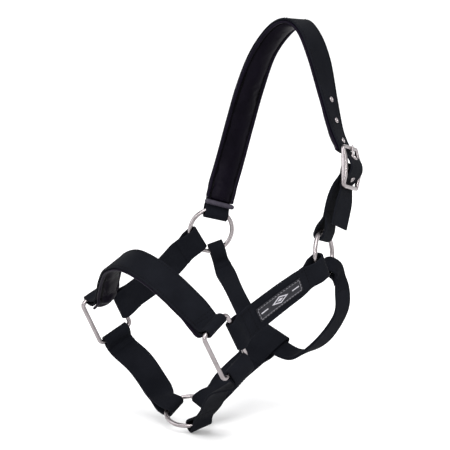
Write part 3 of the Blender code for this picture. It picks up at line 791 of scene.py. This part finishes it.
def buckle_frame_mesh():
    """A rounded frame with a round centre bar."""
    front = buckle_front()
    up = BUCKLE_UP
    out = buckle_out()
    corner = 0.0030
    half_w = (BUCKLE_WIDTH - BUCKLE_RAIL) / 2 - corner
    half_h = (BUCKLE_HEIGHT - BUCKLE_RAIL) / 2 - corner
    line = filled_in(bent_corners(BUCKLE_POS, front, up, half_w, half_h, corner, 8), 8)
    section = [(math.copysign(abs(c) ** 0.55, c) * BUCKLE_RAIL / 2,
                math.copysign(abs(s) ** 0.62, s) * BUCKLE_THICK / 2) for c, s in circle(28)]
    verts = []
    for middle, way in line:
        from_top = abs((middle - BUCKLE_POS).dot(up)) / (BUCKLE_HEIGHT / 2)
        full = smoothstep((0.92 - from_top) / 0.75) * abs(way.dot(front))
        for v, n in section:
            verts.append(middle + way * (v * (1.0 + 0.15 * full) + 0.0003 * full)
                         + out * (n * (1.0 + 0.90 * full) + 0.0015 * full))
    faces = tube_faces(len(line), len(section), closed=True)
    first, sides, rows = len(verts), 20, 7
    for i in range(rows):
        f = -1 + 2 * i / (rows - 1)
        middle = BUCKLE_POS + front * f * (BUCKLE_WIDTH / 2 - BUCKLE_RAIL * 0.6)
        verts += [middle + (up * c + out * s) * BUCKLE_PIN_RADIUS for c, s in circle(sides)]
    faces += shifted(tube_faces(rows, sides), first)
    add_mesh("buckle_frame_bar", verts, faces, "metal", "headpiece", ("buckle_frame",), sharp=60.0)


def buckle_tongue_mesh():
    """A bar curled round the centre bar, narrowing to a rounded tip."""
    radius = BUCKLE_PIN_RADIUS + 0.0004 + TONGUE_THICK / 2
    reach = BUCKLE_HEIGHT / 2 + 0.0010
    line = []
    for i in range(28):
        angle = math.radians(360 - 270 * i / 27)
        line.append((radius * math.cos(angle), radius * math.sin(angle), 1.0))
    for f in (0.2, 0.35, 0.5, 0.65, 0.8, 0.9, 0.95):
        line.append((reach * f, radius, 1.0 - 0.16 * f))
    line += [(reach * 0.98, radius - 0.00005, 0.66), (reach, radius - 0.0001, 0.30)]
    front = buckle_front()
    path = [buckle_place(-p, n) for p, n, _ in line]
    verts = []
    for i, point in enumerate(path):
        along = (path[min(i + 1, len(path) - 1)] - path[max(i - 1, 0)]).normalized()
        out = along.cross(front).normalized()
        for c, s in circle(16):
            v = math.copysign(abs(c) ** 0.7, c) * TONGUE_WIDTH / 2 * line[i][2]
            n = math.copysign(abs(s) ** 0.7, s) * TONGUE_THICK / 2 * min(1.0, line[i][2] + 0.15)
            verts.append(point + front * v + out * n)
    add_mesh("buckle_tongue_bar", verts, tube_faces(len(path), 16), "metal", "tongue",
             ("buckle_tongue",), sharp=60.0)


# ------------------------------------------------------- the straps' courses

def mirrored(vector, side):
    return vector.copy() if side > 0 else MIRROR @ vector


def forwards(vector):
    """The vector, or its opposite if that points more towards the nose."""
    return vector if vector.x > 0 else -vector


def ring_fold(ring, out, tangent, heading, width, clearance=LOOP_CLEARANCE):
    """The fold round a ring's wire at "out": its eye, where it starts and how the strap leaves."""
    leave = (heading - tangent * heading.dot(tangent)).normalized()
    sag = RING_RADIUS - math.sqrt(RING_RADIUS ** 2 - (width / 2) ** 2)
    tilt = leave.angle(out)
    level, lean = sag / 2 * math.cos(tilt), sag / 2 * math.sin(tilt)
    start = ring + out * (RING_RADIUS - sag / 2) - leave * (level + 0.0006)
    return Eye(WIRE_RADIUS + clearance + lean, 2 * level + 0.0026, width), start, leave


def bar_eye(width):
    return Eye(WIRE_RADIUS + LOOP_CLEARANCE, 0.0015, width)


def ring_directions(side):
    """Forward and upward directions in the plane of an upper ring."""
    normal = RING_NORMAL.copy()
    forward = Vector((normal.y, -normal.x, 0.0)).normalized()
    upward = (Vector((0, 0, 1)) - normal * normal.z).normalized()
    if side < 0:
        return MIRROR @ forward, MIRROR @ upward
    return forward, upward


def round_direction(forward, upward, degrees):
    a = math.radians(degrees)
    return forward * math.cos(a) + upward * math.sin(a), upward * math.cos(a) - forward * math.sin(a)


def lead_directions():
    near = LEAD_BACK.cross(LEAD_NORMAL).normalized()
    return LEAD_NORMAL.cross(near).normalized(), near


def buckle_front():
    return BUCKLE_UP.cross(BUCKLE_OUT).normalized() * -1.0


def buckle_out():
    return (BUCKLE_OUT - BUCKLE_UP * BUCKLE_OUT.dot(BUCKLE_UP)).normalized()


def buckle_place(s, n):
    """A point of the buckle, s below its centre bar and n outward."""
    return BUCKLE_POS - BUCKLE_UP * s + buckle_out() * n


def cheek_strap(word, side):
    forward, upward = ring_directions(side)
    out, tangent = round_direction(forward, upward, CHEEK_ANGLE)
    heading = Vector((0.883, -0.049, -0.466)) if side > 0 else Vector((0.880, 0.110, -0.490))
    eye, start, leave = ring_fold(mirrored(RING_POS, side), out, tangent, heading, RING_WIDTH,
                                  SWING_CLEARANCE)
    along, up = mirrored(SQUARE_ALONG, side), mirrored(SQUARE_UP, side)
    end = mirrored(SQUARE_POS, side) - along * SQUARE_SHORT / 2
    bow = Vector((0, -0.002, 0.0005)) if side > 0 else Vector((0, 0.005, -0.002))
    points = [start, start + leave * 0.020, start.lerp(end, 0.5) + bow, end - along * 0.018, end]
    across = [tangent, tangent, tangent.lerp(up, 0.6), up, up]
    run = Run(points, [-a for a in across] if side > 0 else across)
    last = bar_eye(WEB_WIDTH)
    strap(word + "_cheek_webbing", run, eye, last, WEB_WIDTH, WEB_THICK, "lower", (word + "_cheek_strap",))
    sew_folds(word + "_cheek_stitches", run, eye, last)
    return run


def nose_profile():
    """The noseband's arch as (sideways, height) above the square rings' top bars, near to off."""
    return [(0.0944, 0.0), (0.0865, 0.0002), (0.0775, 0.0078), (0.0650, 0.0215), (0.0500, 0.0368),
            (0.0290, 0.0512), (0.0, 0.0590), (-0.0285, 0.0508), (-0.0475, 0.0355), (-0.0615, 0.0203),
            (-0.0745, 0.0070), (-0.0865, 0.0002), (-0.0944, 0.0)]


def noseband_run():
    along = Vector((SQUARE_ALONG.x, 0, SQUARE_ALONG.z)).normalized()
    up = Vector((-along.z, 0, along.x))
    bar = SQUARE_POS + SQUARE_UP * SQUARE_LONG / 2
    base = Vector((bar.x, 0, bar.z))
    points = [base + Vector((0, 1, 0)) * y + up * h for y, h in nose_profile()]
    inward = Vector((0, -1, 0)) + SQUARE_ALONG * SQUARE_ALONG.y
    points[0], points[1] = bar, bar + inward * 0.008
    points[-1], points[-2] = MIRROR @ points[0], MIRROR @ points[1]
    across = [along] * len(points)
    across[0] = SQUARE_ALONG
    across[-1] = MIRROR @ SQUARE_ALONG
    return Run(points, across)


def chin_strap(word, side):
    rear, near = lead_directions()
    out, tangent = round_direction(rear, near, 97.5 if side > 0 else -110.0)
    heading = Vector((0.136, 0.760, 0.600)) if side > 0 else Vector((-0.09, -0.86, 0.50))
    eye, start, leave = ring_fold(LEAD_POS, out, tangent, heading, CHIN_RING_WIDTH)
    along, up = mirrored(SQUARE_ALONG, side), mirrored(SQUARE_UP, side)
    end = mirrored(SQUARE_POS, side) - up * SQUARE_LONG / 2 - along * (0.0030 if side > 0 else 0.0)
    front = forwards(tangent)
    if side > 0:
        middle = [Vector((0.1465, 0.044, -0.3580)), Vector((0.1525, 0.066, -0.3340))]
        turned_to = [Vector((0.97, -0.05, -0.24)), Vector((0.965, 0.02, -0.28))]
    else:
        middle = [Vector((0.1445, -0.044, -0.3555)), Vector((0.1480, -0.067, -0.3345))]
        turned_to = [front.lerp(along, 0.4), front.lerp(along, 0.7)]
    points = [start, start + leave * 0.010, *middle, end - up * 0.014, end]
    across = [front, front, *turned_to, along, along]
    run = Run(points, across if side > 0 else [-a for a in across])
    last = bar_eye(CHIN_BAR_WIDTH)
    strap(word + "_chin_webbing", run, eye, last, WEB_WIDTH, WEB_THICK, "lower", (word + "_chin_strap",))
    sew_folds(word + "_chin_stitches", run, eye, last)


def throat_strap():
    points, across = [], []
    for side in (1, -1):
        forward, upward = ring_directions(side)
        out, tangent = round_direction(forward, upward, THROAT_ANGLES[side])
        heading = Vector((-0.55, 0.25, -0.80)) if side > 0 else Vector((-0.27, 0.145, -0.953))
        eye, start, leave = ring_fold(mirrored(RING_POS, side), out, tangent, heading,
                                      THROAT_RING_WIDTH, SWING_CLEARANCE)
        front = forwards(tangent)
        points.append([start, start + leave * (0.010 if side > 0 else 0.020)])
        across.append([front, front])
    drop = (THROAT_THICK + LAYER_GAP) / 2
    inside = TUNNEL - TUNNEL_ALONG.cross(TUNNEL_ACROSS).normalized() * drop
    level = -TUNNEL_ALONG
    near_to_off = [
        (Vector((0.0150, 0.0870, -0.2520)), Vector((0.92, 0.16, -0.30))),
        (Vector((0.0125, 0.0825, -0.2760)), Vector((0.95, 0.13, -0.10))),
        (Vector((0.0180, 0.0620, -0.3060)), Vector((0.95, 0.10, 0.10))),
        (Vector((0.0265, 0.0360, -0.3235)), Vector((0.95, 0.10, -0.25))),
        (inside + TUNNEL_ACROSS * 0.014, level),
        (inside, level),
        (inside - TUNNEL_ACROSS * 0.014, level),
        (Vector((0.0375, -0.0310, -0.2920)), Vector((0.98, -0.12, -0.14))),
        (Vector((0.0350, -0.0560, -0.2680)), Vector((0.99, -0.14, 0.01))),
    ]
    places = points[0] + [p for p, _ in near_to_off] + points[1][::-1]
    widths = across[0] + [w for _, w in near_to_off] + across[1][::-1]
    run = Run(places, [-w for w in widths])
    strap("throat_webbing", run, eye, eye, THROAT_WIDTH, THROAT_THICK, "lower", ("throat_strap",))
    sew_folds("throat_stitches", run, eye, eye, THROAT_WIDTH, THROAT_THICK)


def connector():
    rear, near = lead_directions()
    eye, start, leave = ring_fold(LEAD_POS, rear, near, Vector((-0.835, -0.055, 0.548)), RING_WIDTH)
    room = Eye(THROAT_THICK / 2 + 0.0014, THROAT_WIDTH + 0.0015, WEB_WIDTH)
    end = TUNNEL + TUNNEL_ALONG * THROAT_WIDTH / 2
    points = [start, start + leave * 0.018, Vector((0.0870, 0.0005, -0.3455)),
              Vector((0.0600, 0.0008, -0.3300)), end - TUNNEL_ALONG * 0.022, end]
    across = [near, near, near.lerp(TUNNEL_ACROSS, 0.3), near.lerp(TUNNEL_ACROSS, 0.7),
              TUNNEL_ACROSS, TUNNEL_ACROSS]
    run = Run(points, across)
    strap("throat_connector_webbing", run, eye, room, WEB_WIDTH, WEB_THICK, "lower", ("throat_connector",))
    sew_folds("throat_connector_stitches", run, eye, room, past=0.002)


def crown_half():
    return [
        (Vector((0.0000, 0.0000, 0.00865)), Vector((0.99, 0.00, 0.10))),
        (Vector((0.0020, 0.0220, -0.0011)), Vector((0.98, 0.03, 0.20))),
        (Vector((0.0065, 0.0432, -0.0262)), Vector((0.98, 0.10, 0.17))),
        (Vector((0.0095, 0.0600, -0.0620)), Vector((0.93, 0.29, 0.17))),
    ]


def headpiece_run():
    forward, upward = ring_directions(-1)
    out, tangent = round_direction(forward, upward, CROWN_ANGLE)
    heading = Vector((-0.405, -0.125, 0.906))
    eye, start, leave = ring_fold(MIRROR @ RING_POS, out, tangent, heading, RING_WIDTH)
    front_off = forwards(tangent)
    front = Vector((0.88, 0.42, 0.23)).normalized()
    half = crown_half()
    off = [(MIRROR @ p, MIRROR @ w) for p, w in reversed(half[1:])]
    below_off = [(Vector((0.0100, -0.0770, -0.1035)), Vector((0.91, -0.36, 0.19))),
                 (Vector((0.0155, -0.0870, -0.1440)), Vector((0.88, -0.41, 0.23)))]
    over = 0.5 * BUCKLE_HEIGHT - BUCKLE_RAIL / 2
    under = -(BUCKLE_THICK / 2 + LAYER_GAP * 3 + WEB_THICK + LAYER_GAP)
    buckle_line = [
        (Vector((0.0098, 0.0722, -0.0930)), Vector((0.88, 0.40, 0.22))),
        (buckle_place(-over - 0.002, under - 0.0022), front),
        (buckle_place(-over + 0.004, under), front),
        (buckle_place(-0.006, 0.0042), front),
        (buckle_place(0.0045, 0.0050), front),
        (buckle_place(over - 0.004, under), front),
        (buckle_place(over + 0.003, under - 0.0003), front),
    ]
    turned_out = Vector((0.93, 0.29, 0.215)).normalized()
    tail = [(Vector((0.0170, 0.0912, -0.1640)), turned_out), (Vector((0.0255, 0.0935, -0.1868)), turned_out)]
    line = [(start, front_off), (start + leave * 0.014, front_off)] + below_off[::-1] + off
    line += half + buckle_line + tail
    return Run([p for p, _ in line], [-w for _, w in line], steps=400), eye


# ------------------------------------------------------------------ padding

def pad_top(s, run, eye, ends):
    """Outward offset of a pad's top face: under the main layer, or under the fold-backs."""
    top = layer_offset(WEB_THICK) - WEB_THICK / 2 - LAYER_GAP
    for gone, folded in ((s, ends[0]), (run.length - s, ends[1])):
        if not folded:
            continue
        low = -eye.offset(gone, WEB_THICK) - WEB_THICK / 2 - LAYER_GAP * 1.6
        ramp = smoothstep((gone - eye.shut - FOLD_BACK - 0.0005) / 0.010)
        top = min(top, low + (top - low) * ramp)
    return top


def pad_outline(plump):
    """Across the padding: flat against the webbing, thin sewn edges, a groove, then the pillow."""
    half = PAD_WIDTH / 2
    top = [(half * f, -0.0001) for f in (-0.8, -0.53, -0.27, 0.0, 0.27, 0.53, 0.8)]
    flange = [(half - 0.0006, -0.0003), (half, -0.0010), (half, -FLANGE_THICK + 0.0010),
              (half - 0.0007, -FLANGE_THICK + 0.0002), (half - 0.0018, -FLANGE_THICK),
              (half - FLANGE_WIDTH + 0.0010, -FLANGE_THICK + 0.0002)]
    inner = SEAM - 0.0008
    groove = [(SEAM, -FLANGE_THICK + 0.0011), (inner, -FLANGE_THICK + 0.0004)]
    base = FLANGE_THICK - 0.0004
    deep = (PAD_THICK - SLACK - FLANGE_THICK) * plump + FLANGE_THICK
    pillow = []
    for k in range(1, PILLOW_COLUMNS + 1):
        u = math.cos(math.pi * k / (PILLOW_COLUMNS + 1))
        rise = (1.0 - abs(u) ** 2.4) ** 0.62
        pillow.append((u * inner, -base - (deep - base) * rise))
    near = flange + groove
    outline = top + near + pillow + [(-v, n) for v, n in reversed(near)]
    pinned = len(top + near)
    loose = range(pinned, pinned + PILLOW_COLUMNS)
    return outline, set(loose)


def padding(name, run, low, high, eye, ends, body, nodes):
    """A padded lining: swept, inflated as cloth between its seams, then subdivided and sewn."""
    count = round((high - low) / PAD_STEP)
    verts, lay, loose = [], [], []
    for i in range(count + 1):
        s = low + (high - low) * i / count
        centre, _, across, normal = run.frame(s)
        shift = pad_top(s, run, eye, ends)
        closing = min(1.0, (s - low) / 0.007, (high - s) / 0.007)
        plump = 0.12 + 0.88 * math.sqrt(max(0.0, 1.0 - (1.0 - closing) ** 2))
        outline, free = pad_outline(plump)
        for k, (v, n) in enumerate(outline):
            verts.append(centre + across * v + normal * (shift + n))
            lay.append((s, v, n))
            loose.append(k in free and 1 < i < count - 1)
    size = len(verts) // (count + 1)
    piece = add_mesh(name, verts, tube_faces(count + 1, size), "lining", body, nodes, lay, sharp=75.0)
    inflate(piece, loose)
    piece.modifiers.new("softer", "SUBSURF").levels = 1
    graph = bpy.context.evaluated_depsgraph_get()
    done = bpy.data.meshes.new_from_object(piece.evaluated_get(graph))
    piece.modifiers.clear()
    piece.data = done
    pucker(piece)
    done.shade_smooth()
    done.set_sharp_from_angle(angle=math.radians(70.0))
    return piece


def inflate(piece, loose):
    """Blow the padding up as cloth held along its seams, and keep the swelling within bounds."""
    held = piece.vertex_groups.new(name="held")
    held.add([i for i, free in enumerate(loose) if not free], 1.0, "REPLACE")
    before = [v.co.copy() for v in piece.data.vertices]
    cloth = piece.modifiers.new("cloth", "CLOTH")
    settings = cloth.settings
    settings.quality = 6
    settings.mass = 0.15
    settings.tension_stiffness = 12.0
    settings.compression_stiffness = 12.0
    settings.shear_stiffness = 6.0
    settings.bending_stiffness = 0.3
    settings.use_pressure = True
    settings.uniform_pressure_force = PAD_PRESSURE
    settings.shrink_min = -0.025
    settings.vertex_group_mass = "held"
    settings.effector_weights.gravity = 0.0
    cloth.collision_settings.use_collision = False
    scene = bpy.context.scene
    for number in range(1, PAD_FRAMES + 1):
        scene.frame_set(number)
    graph = bpy.context.evaluated_depsgraph_get()
    blown = piece.evaluated_get(graph).data
    moved = []
    for start, vertex in zip(before, blown.vertices):
        step = vertex.co - start
        if step.length > MOST_SWELL:
            step *= MOST_SWELL / step.length
        moved.append(start + step)
    piece.modifiers.clear()
    piece.vertex_groups.clear()
    for vertex, place in zip(piece.data.vertices, moved):
        vertex.co = place
    piece.data.update()
    scene.frame_set(1)


def pucker(piece):
    """Draw the sewn edge in at each stitch."""
    mesh = piece.data
    normals = [v.normal.copy() for v in mesh.vertices]
    for vertex, data, normal in zip(mesh.vertices, mesh.attributes["lay"].data, normals):
        s, v, n = data.vector
        if n > -0.0012:
            continue
        near = math.exp(-((abs(v) - SEAM) / 0.0016) ** 2)
        vertex.co -= normal * near * PUCKER * (0.5 + 0.5 * math.cos(2 * math.pi * s / STITCH_PITCH))


def end_roll(run, eye):
    """The lining's rolled end above the off ring: a soft bead with rounded ends."""
    centre, _, across, normal = run.frame(PAD_START - ROLL_RADIUS - 2 * LAYER_GAP)
    depth = pad_top(PAD_START - 2 * ROLL_RADIUS, run, eye, (True, False)) - ROLL_RADIUS
    middle = centre + normal * depth
    along = across.cross(normal)
    half = (PAD_WIDTH + 0.0016) / 2
    rows, sides = 33, 20
    verts, lay = [], []
    for i in range(rows):
        f = -1 + 2 * i / (rows - 1)
        f = math.sin(f * math.pi / 2)
        reach = abs(f) * half
        end = max(0.0, (reach - (half - ROLL_RADIUS)) / ROLL_RADIUS)
        fat = math.sqrt(max(0.02, 1.0 - end * end)) * (0.94 + 0.03 * math.cos(f * 17.0))
        for j, (c, s) in enumerate(circle(sides)):
            out = (along * c + normal * s) * ROLL_RADIUS * fat
            verts.append(middle + across * f * half + out)
            lay.append((f, 2 * math.pi * j / sides, 0.0))
    # Its material is the lining leather painted lighter, a painted highlight
    add_mesh("headpiece_rolled_end", verts, tube_faces(rows, sides), "roll", "headpiece",
             ("headpiece_end_roll",), lay, sharp=70.0)


# ------------------------------------------------------------------ the pieces

def headpiece():
    run, eye = headpiece_run()
    used = run.nearest(buckle_place(TONGUE_HOLE_S, 0.0020))
    drills = []
    for number, step in enumerate((-3, -2, -1, 0, 1), 1):
        centre, _, _, normal = run.frame(used + step * EYELET_PITCH)
        hole = TONGUE_EYELET_HOLE if step == 0 else EYELET_HOLE
        centre = centre + normal * (layer_offset(WEB_THICK) + WEB_THICK / 2)
        eyelet(number, centre, normal, hole)
        drills.append(round_cutter(centre, normal, hole + EYELET_WALL + LAYER_GAP / 2))
    strap("headpiece_webbing", run, eye, None, WEB_WIDTH, WEB_THICK, "headpiece",
          ("headpiece_strap",), drills)
    pad_end = run.nearest(buckle_place(-BUCKLE_HEIGHT / 2 + 0.0050, -0.005))
    pad = padding("headpiece_padding", run, PAD_START, pad_end, eye, (True, False), "headpiece",
                  ("headpiece_lining", "headpiece_foam"))
    end_roll(run, eye)
    top = WEB_THICK + LAYER_GAP / 2
    rows = []
    for v in (EDGE_SEAM, -EDGE_SEAM):
        rows += seam_along(run, eye.shut + 0.002, pad_end - 0.004, v, top, WEB_WIDTH, eye)
    for s in (eye.shut + BOX_START, eye.shut + BOX_END, pad_end - 0.003):
        rows += seam_across(run, s, EDGE_SEAM, top)
    thread_mesh("headpiece_stitches", rows, "headpiece")
    inner = seam_inside(run, PAD_START + 0.004, pad_end - 0.006)
    inner += seam_across(run, PAD_START + 0.0035, PAD_WIDTH / 2 - 0.0055, 0.0)
    thread_mesh("headpiece_lining_stitches", on_surface(pad, inner), "headpiece", "lining_thread")


def seam_inside(run, low, high):
    """Stitch places over the two grooves of a pad's inner face."""
    return seam_along(run, low, high, SEAM, 0.0) + seam_along(run, low, high, -SEAM, 0.0)


def on_surface(pad, places):
    """The same stitches moved straight through to the pad's inner face."""
    laid = []
    for centre, along, normal in places:
        hit, place, out, _ = pad.ray_cast(centre - normal * 0.030, normal, distance=0.030)
        if hit:
            way = (along - out * along.dot(out)).normalized()
            laid.append((place, way, out))
    return laid


def noseband():
    run = noseband_run()
    eye = bar_eye(BAR_WIDTH)
    strap("noseband_webbing", run, eye, eye, WEB_WIDTH, WEB_THICK, "lower", ("noseband_strap",))
    pad_low, pad_high = NOSE_MARGIN, run.length - NOSE_MARGIN
    pad = padding("noseband_padding", run, pad_low, pad_high, eye, (True, True), "lower",
                  ("noseband_lining", "noseband_foam"))
    top = WEB_THICK + LAYER_GAP / 2
    low, high = eye.shut + BOX_START, run.length - eye.shut - BOX_START
    rows = []
    for v in (EDGE_SEAM, -EDGE_SEAM):
        rows += seam_along(run, low, high, v, top, WEB_WIDTH, eye, eye)
    for s in (low, low + 0.0035, high, high - 0.0035):
        rows += seam_across(run, s, EDGE_SEAM, top, squeeze_at(s, run, eye, eye, WEB_WIDTH))
    thread_mesh("noseband_stitches", rows, "lower")
    inner = seam_inside(run, pad_low + 0.004, pad_high - 0.004)
    thread_mesh("noseband_lining_stitches", on_surface(pad, inner), "lower", "lining_thread")


def buckle_strap():
    """The short strap from the near upper ring to the buckle, slotted for the tongue."""
    forward, upward = ring_directions(1)
    out, tangent = round_direction(forward, upward, CROWN_ANGLE)
    eye, start, leave = ring_fold(RING_POS, out, tangent, Vector((-0.408, 0.106, 0.908)), RING_WIDTH)
    front = buckle_front()
    lean = front if tangent.x > 0 else -front
    points = [start, start + leave * 0.018, buckle_place(0.0300, -0.0135) + front * 0.008,
              buckle_place(0.0170, -0.0090) + front * 0.002, buckle_place(0.0080, -0.0042), BUCKLE_POS]
    run = Run(points, [tangent, tangent, lean, lean, lean, lean])
    bar = Eye(BUCKLE_PIN_RADIUS + 0.0004, 0.0010, 0.0270, closing=0.008)
    slot = slot_cutter(BUCKLE_POS, front, BUCKLE_UP, (TONGUE_WIDTH + 0.0016, 0.0130, 0.0120))
    strap("buckle_webbing", run, eye, bar, BUCKLE_STRAP_WIDTH, WEB_THICK, "headpiece",
          ("buckle_strap",), [slot])
    top = WEB_THICK + LAYER_GAP / 2
    far = run.length - bar.shut
    rows = box_stitch(run, eye.shut + BOX_START, far - 0.003, BUCKLE_STRAP_WIDTH, top, eye, bar)
    for v in (0.0009, -0.0009):
        rows += seam_along(run, eye.shut + 0.003, far - 0.005, v, top, BUCKLE_STRAP_WIDTH, eye, bar)
    thread_mesh("buckle_stitches", rows, "headpiece")


def label_patch(run):
    """A woven name tape with no name on it, sewn on the near cheek strap."""
    base = layer_offset(WEB_THICK) + WEB_THICK / 2 + LAYER_GAP
    middle = run.length * 0.485
    half = LABEL_HEIGHT / 2
    columns = [-1.0, -0.985, -0.93, -0.80, -0.60, -0.30, 0.0, 0.30, 0.60, 0.80, 0.93, 0.985, 1.0]
    heights = [0.35, 0.80, 1.0, 0.86, 0.82, 0.82, 0.82, 0.82, 0.82, 0.86, 1.0, 0.80, 0.35]
    rows = 46
    verts, coords = [], []
    for i in range(rows + 1):
        f = 2 * i / rows - 1
        centre, _, across, normal = run.frame(middle + LABEL_LENGTH * f / 2)
        end = 1.0 - 0.55 * smoothstep((abs(f) - 0.975) / 0.025)
        for c, h in zip(columns, heights):
            verts.append(centre + across * half * c + normal * (base + LABEL_THICK * h * end))
            coords.append((LABEL_LENGTH * f / 2, half * c, 0.0))
        for c in reversed(columns):
            verts.append(centre + across * half * c + normal * base)
            coords.append((LABEL_LENGTH * f / 2, half * c, 0.0))
    add_mesh("woven_label", verts, tube_faces(rows + 1, 2 * len(columns)), "label", "lower",
             ("label_patch",), coords, sharp=60.0)
    places = []
    for v in (half - 0.0011, -half + 0.0011):
        places += seam_along(run, middle - LABEL_LENGTH * 0.48, middle + LABEL_LENGTH * 0.48, v,
                             base + LABEL_THICK * 0.95)
    count = 3
    for f in (-0.965, 0.965):
        centre, _, across, normal = run.frame(middle + LABEL_LENGTH * f / 2)
        for i in range(count + 1):
            v = (i / count - 0.5) * (LABEL_HEIGHT - 0.0040)
            places.append((centre + across * v + normal * (base + LABEL_THICK * 0.85), across, normal))
    thread_mesh("woven_label_stitches", places, "lower")


# ---------------------------------------------------------- floor, light, camera

def aimed(name, data, spot, target):
    """A light or camera at a spot, turned towards a target."""
    made = bpy.data.objects.new(name, data)
    bpy.context.collection.objects.link(made)
    made.location = spot
    aim = Vector(target) - Vector(spot)
    made.rotation_euler = aim.to_track_quat("-Z", "Y").to_euler()
    return made


def studio():
    """A pale floor under a pale sky, a broad sun and four soft lamps."""
    floor_z = CAD_BOX[0][2] - 0.0006
    bpy.ops.mesh.primitive_circle_add(vertices=96, radius=FLOOR_RADIUS, fill_type="NGON",
                                      location=(0, 0, floor_z))
    floor = bpy.context.object
    floor.name = "floor"
    floor.data.materials.append(floor_material())

    world = bpy.data.worlds.new("studio")
    bpy.context.scene.world = world
    world.use_nodes = True
    tree = world.node_tree
    background = tree.nodes["Background"]
    place = tree.nodes.new("ShaderNodeTexCoord")
    split = tree.nodes.new("ShaderNodeSeparateXYZ")
    ramp = tree.nodes.new("ShaderNodeValToRGB")
    tree.links.new(place.outputs["Generated"], split.inputs[0])
    tree.links.new(split.outputs["Z"], ramp.inputs["Fac"])
    tree.links.new(ramp.outputs["Color"], background.inputs["Color"])
    elements = ramp.color_ramp.elements
    elements[0].position, elements[0].color = 0.64, (1.0, 1.0, 1.0, 1.0)
    elements[1].position, elements[1].color = 0.90, (0.22, 0.22, 0.24, 1.0)
    background.inputs["Strength"].default_value = 1.0

    sun = bpy.data.lights.new("overhead", "SUN")
    sun.energy = 2.0
    sun.angle = math.radians(50.0)
    aimed("overhead", sun, (0.0, 0.0, 0.0), (-0.25, -0.30, -1.0))

    for name, spot, size, power, tint in (
            ("key", (0.9, 1.6, 1.7), 1.0, 21.0, (1.0, 0.985, 0.97)),
            ("front", (1.55, 1.45, 0.55), 0.42, 11.0, (1.0, 0.99, 0.98)),
            ("fill", (1.9, -0.4, 0.7), 1.2, 12.0, (0.97, 0.98, 1.0)),
            ("rim", (-1.2, -1.3, 1.2), 1.2, 10.0, (1.0, 1.0, 1.0))):
        data = bpy.data.lights.new(name, "AREA")
        data.shape = "SQUARE"
        data.size = size
        data.energy = power
        data.color = tint
        aimed(name, data, spot, LIT_POINT)


def camera():
    data = bpy.data.cameras.new("camera")
    data.lens = 160.8
    data.sensor_width = 36.0
    data.clip_end = 60.0
    bpy.context.scene.camera = aimed("camera", data, CAMERA_SPOT, CAMERA_TARGET)
    bpy.context.scene.view_settings.view_transform = "Standard"


def main():
    for word, side in (("near", 1), ("off", -1)):
        normal = mirrored(RING_NORMAL, side)
        wire_ring(word + "_upper_ring", mirrored(RING_POS, side), normal, word + "_upper_ring")
        square_wire(word + "_square_ring", side)
        run = cheek_strap(word, side)
        if side > 0:
            label_patch(run)
        chin_strap(word, side)
    wire_ring("lead_ring", LEAD_POS, LEAD_NORMAL, "lead_ring")
    throat_strap()
    connector()
    buckle_strap()
    buckle_frame_mesh()
    buckle_tongue_mesh()
    headpiece()
    noseband()
    studio()
    camera()


main()
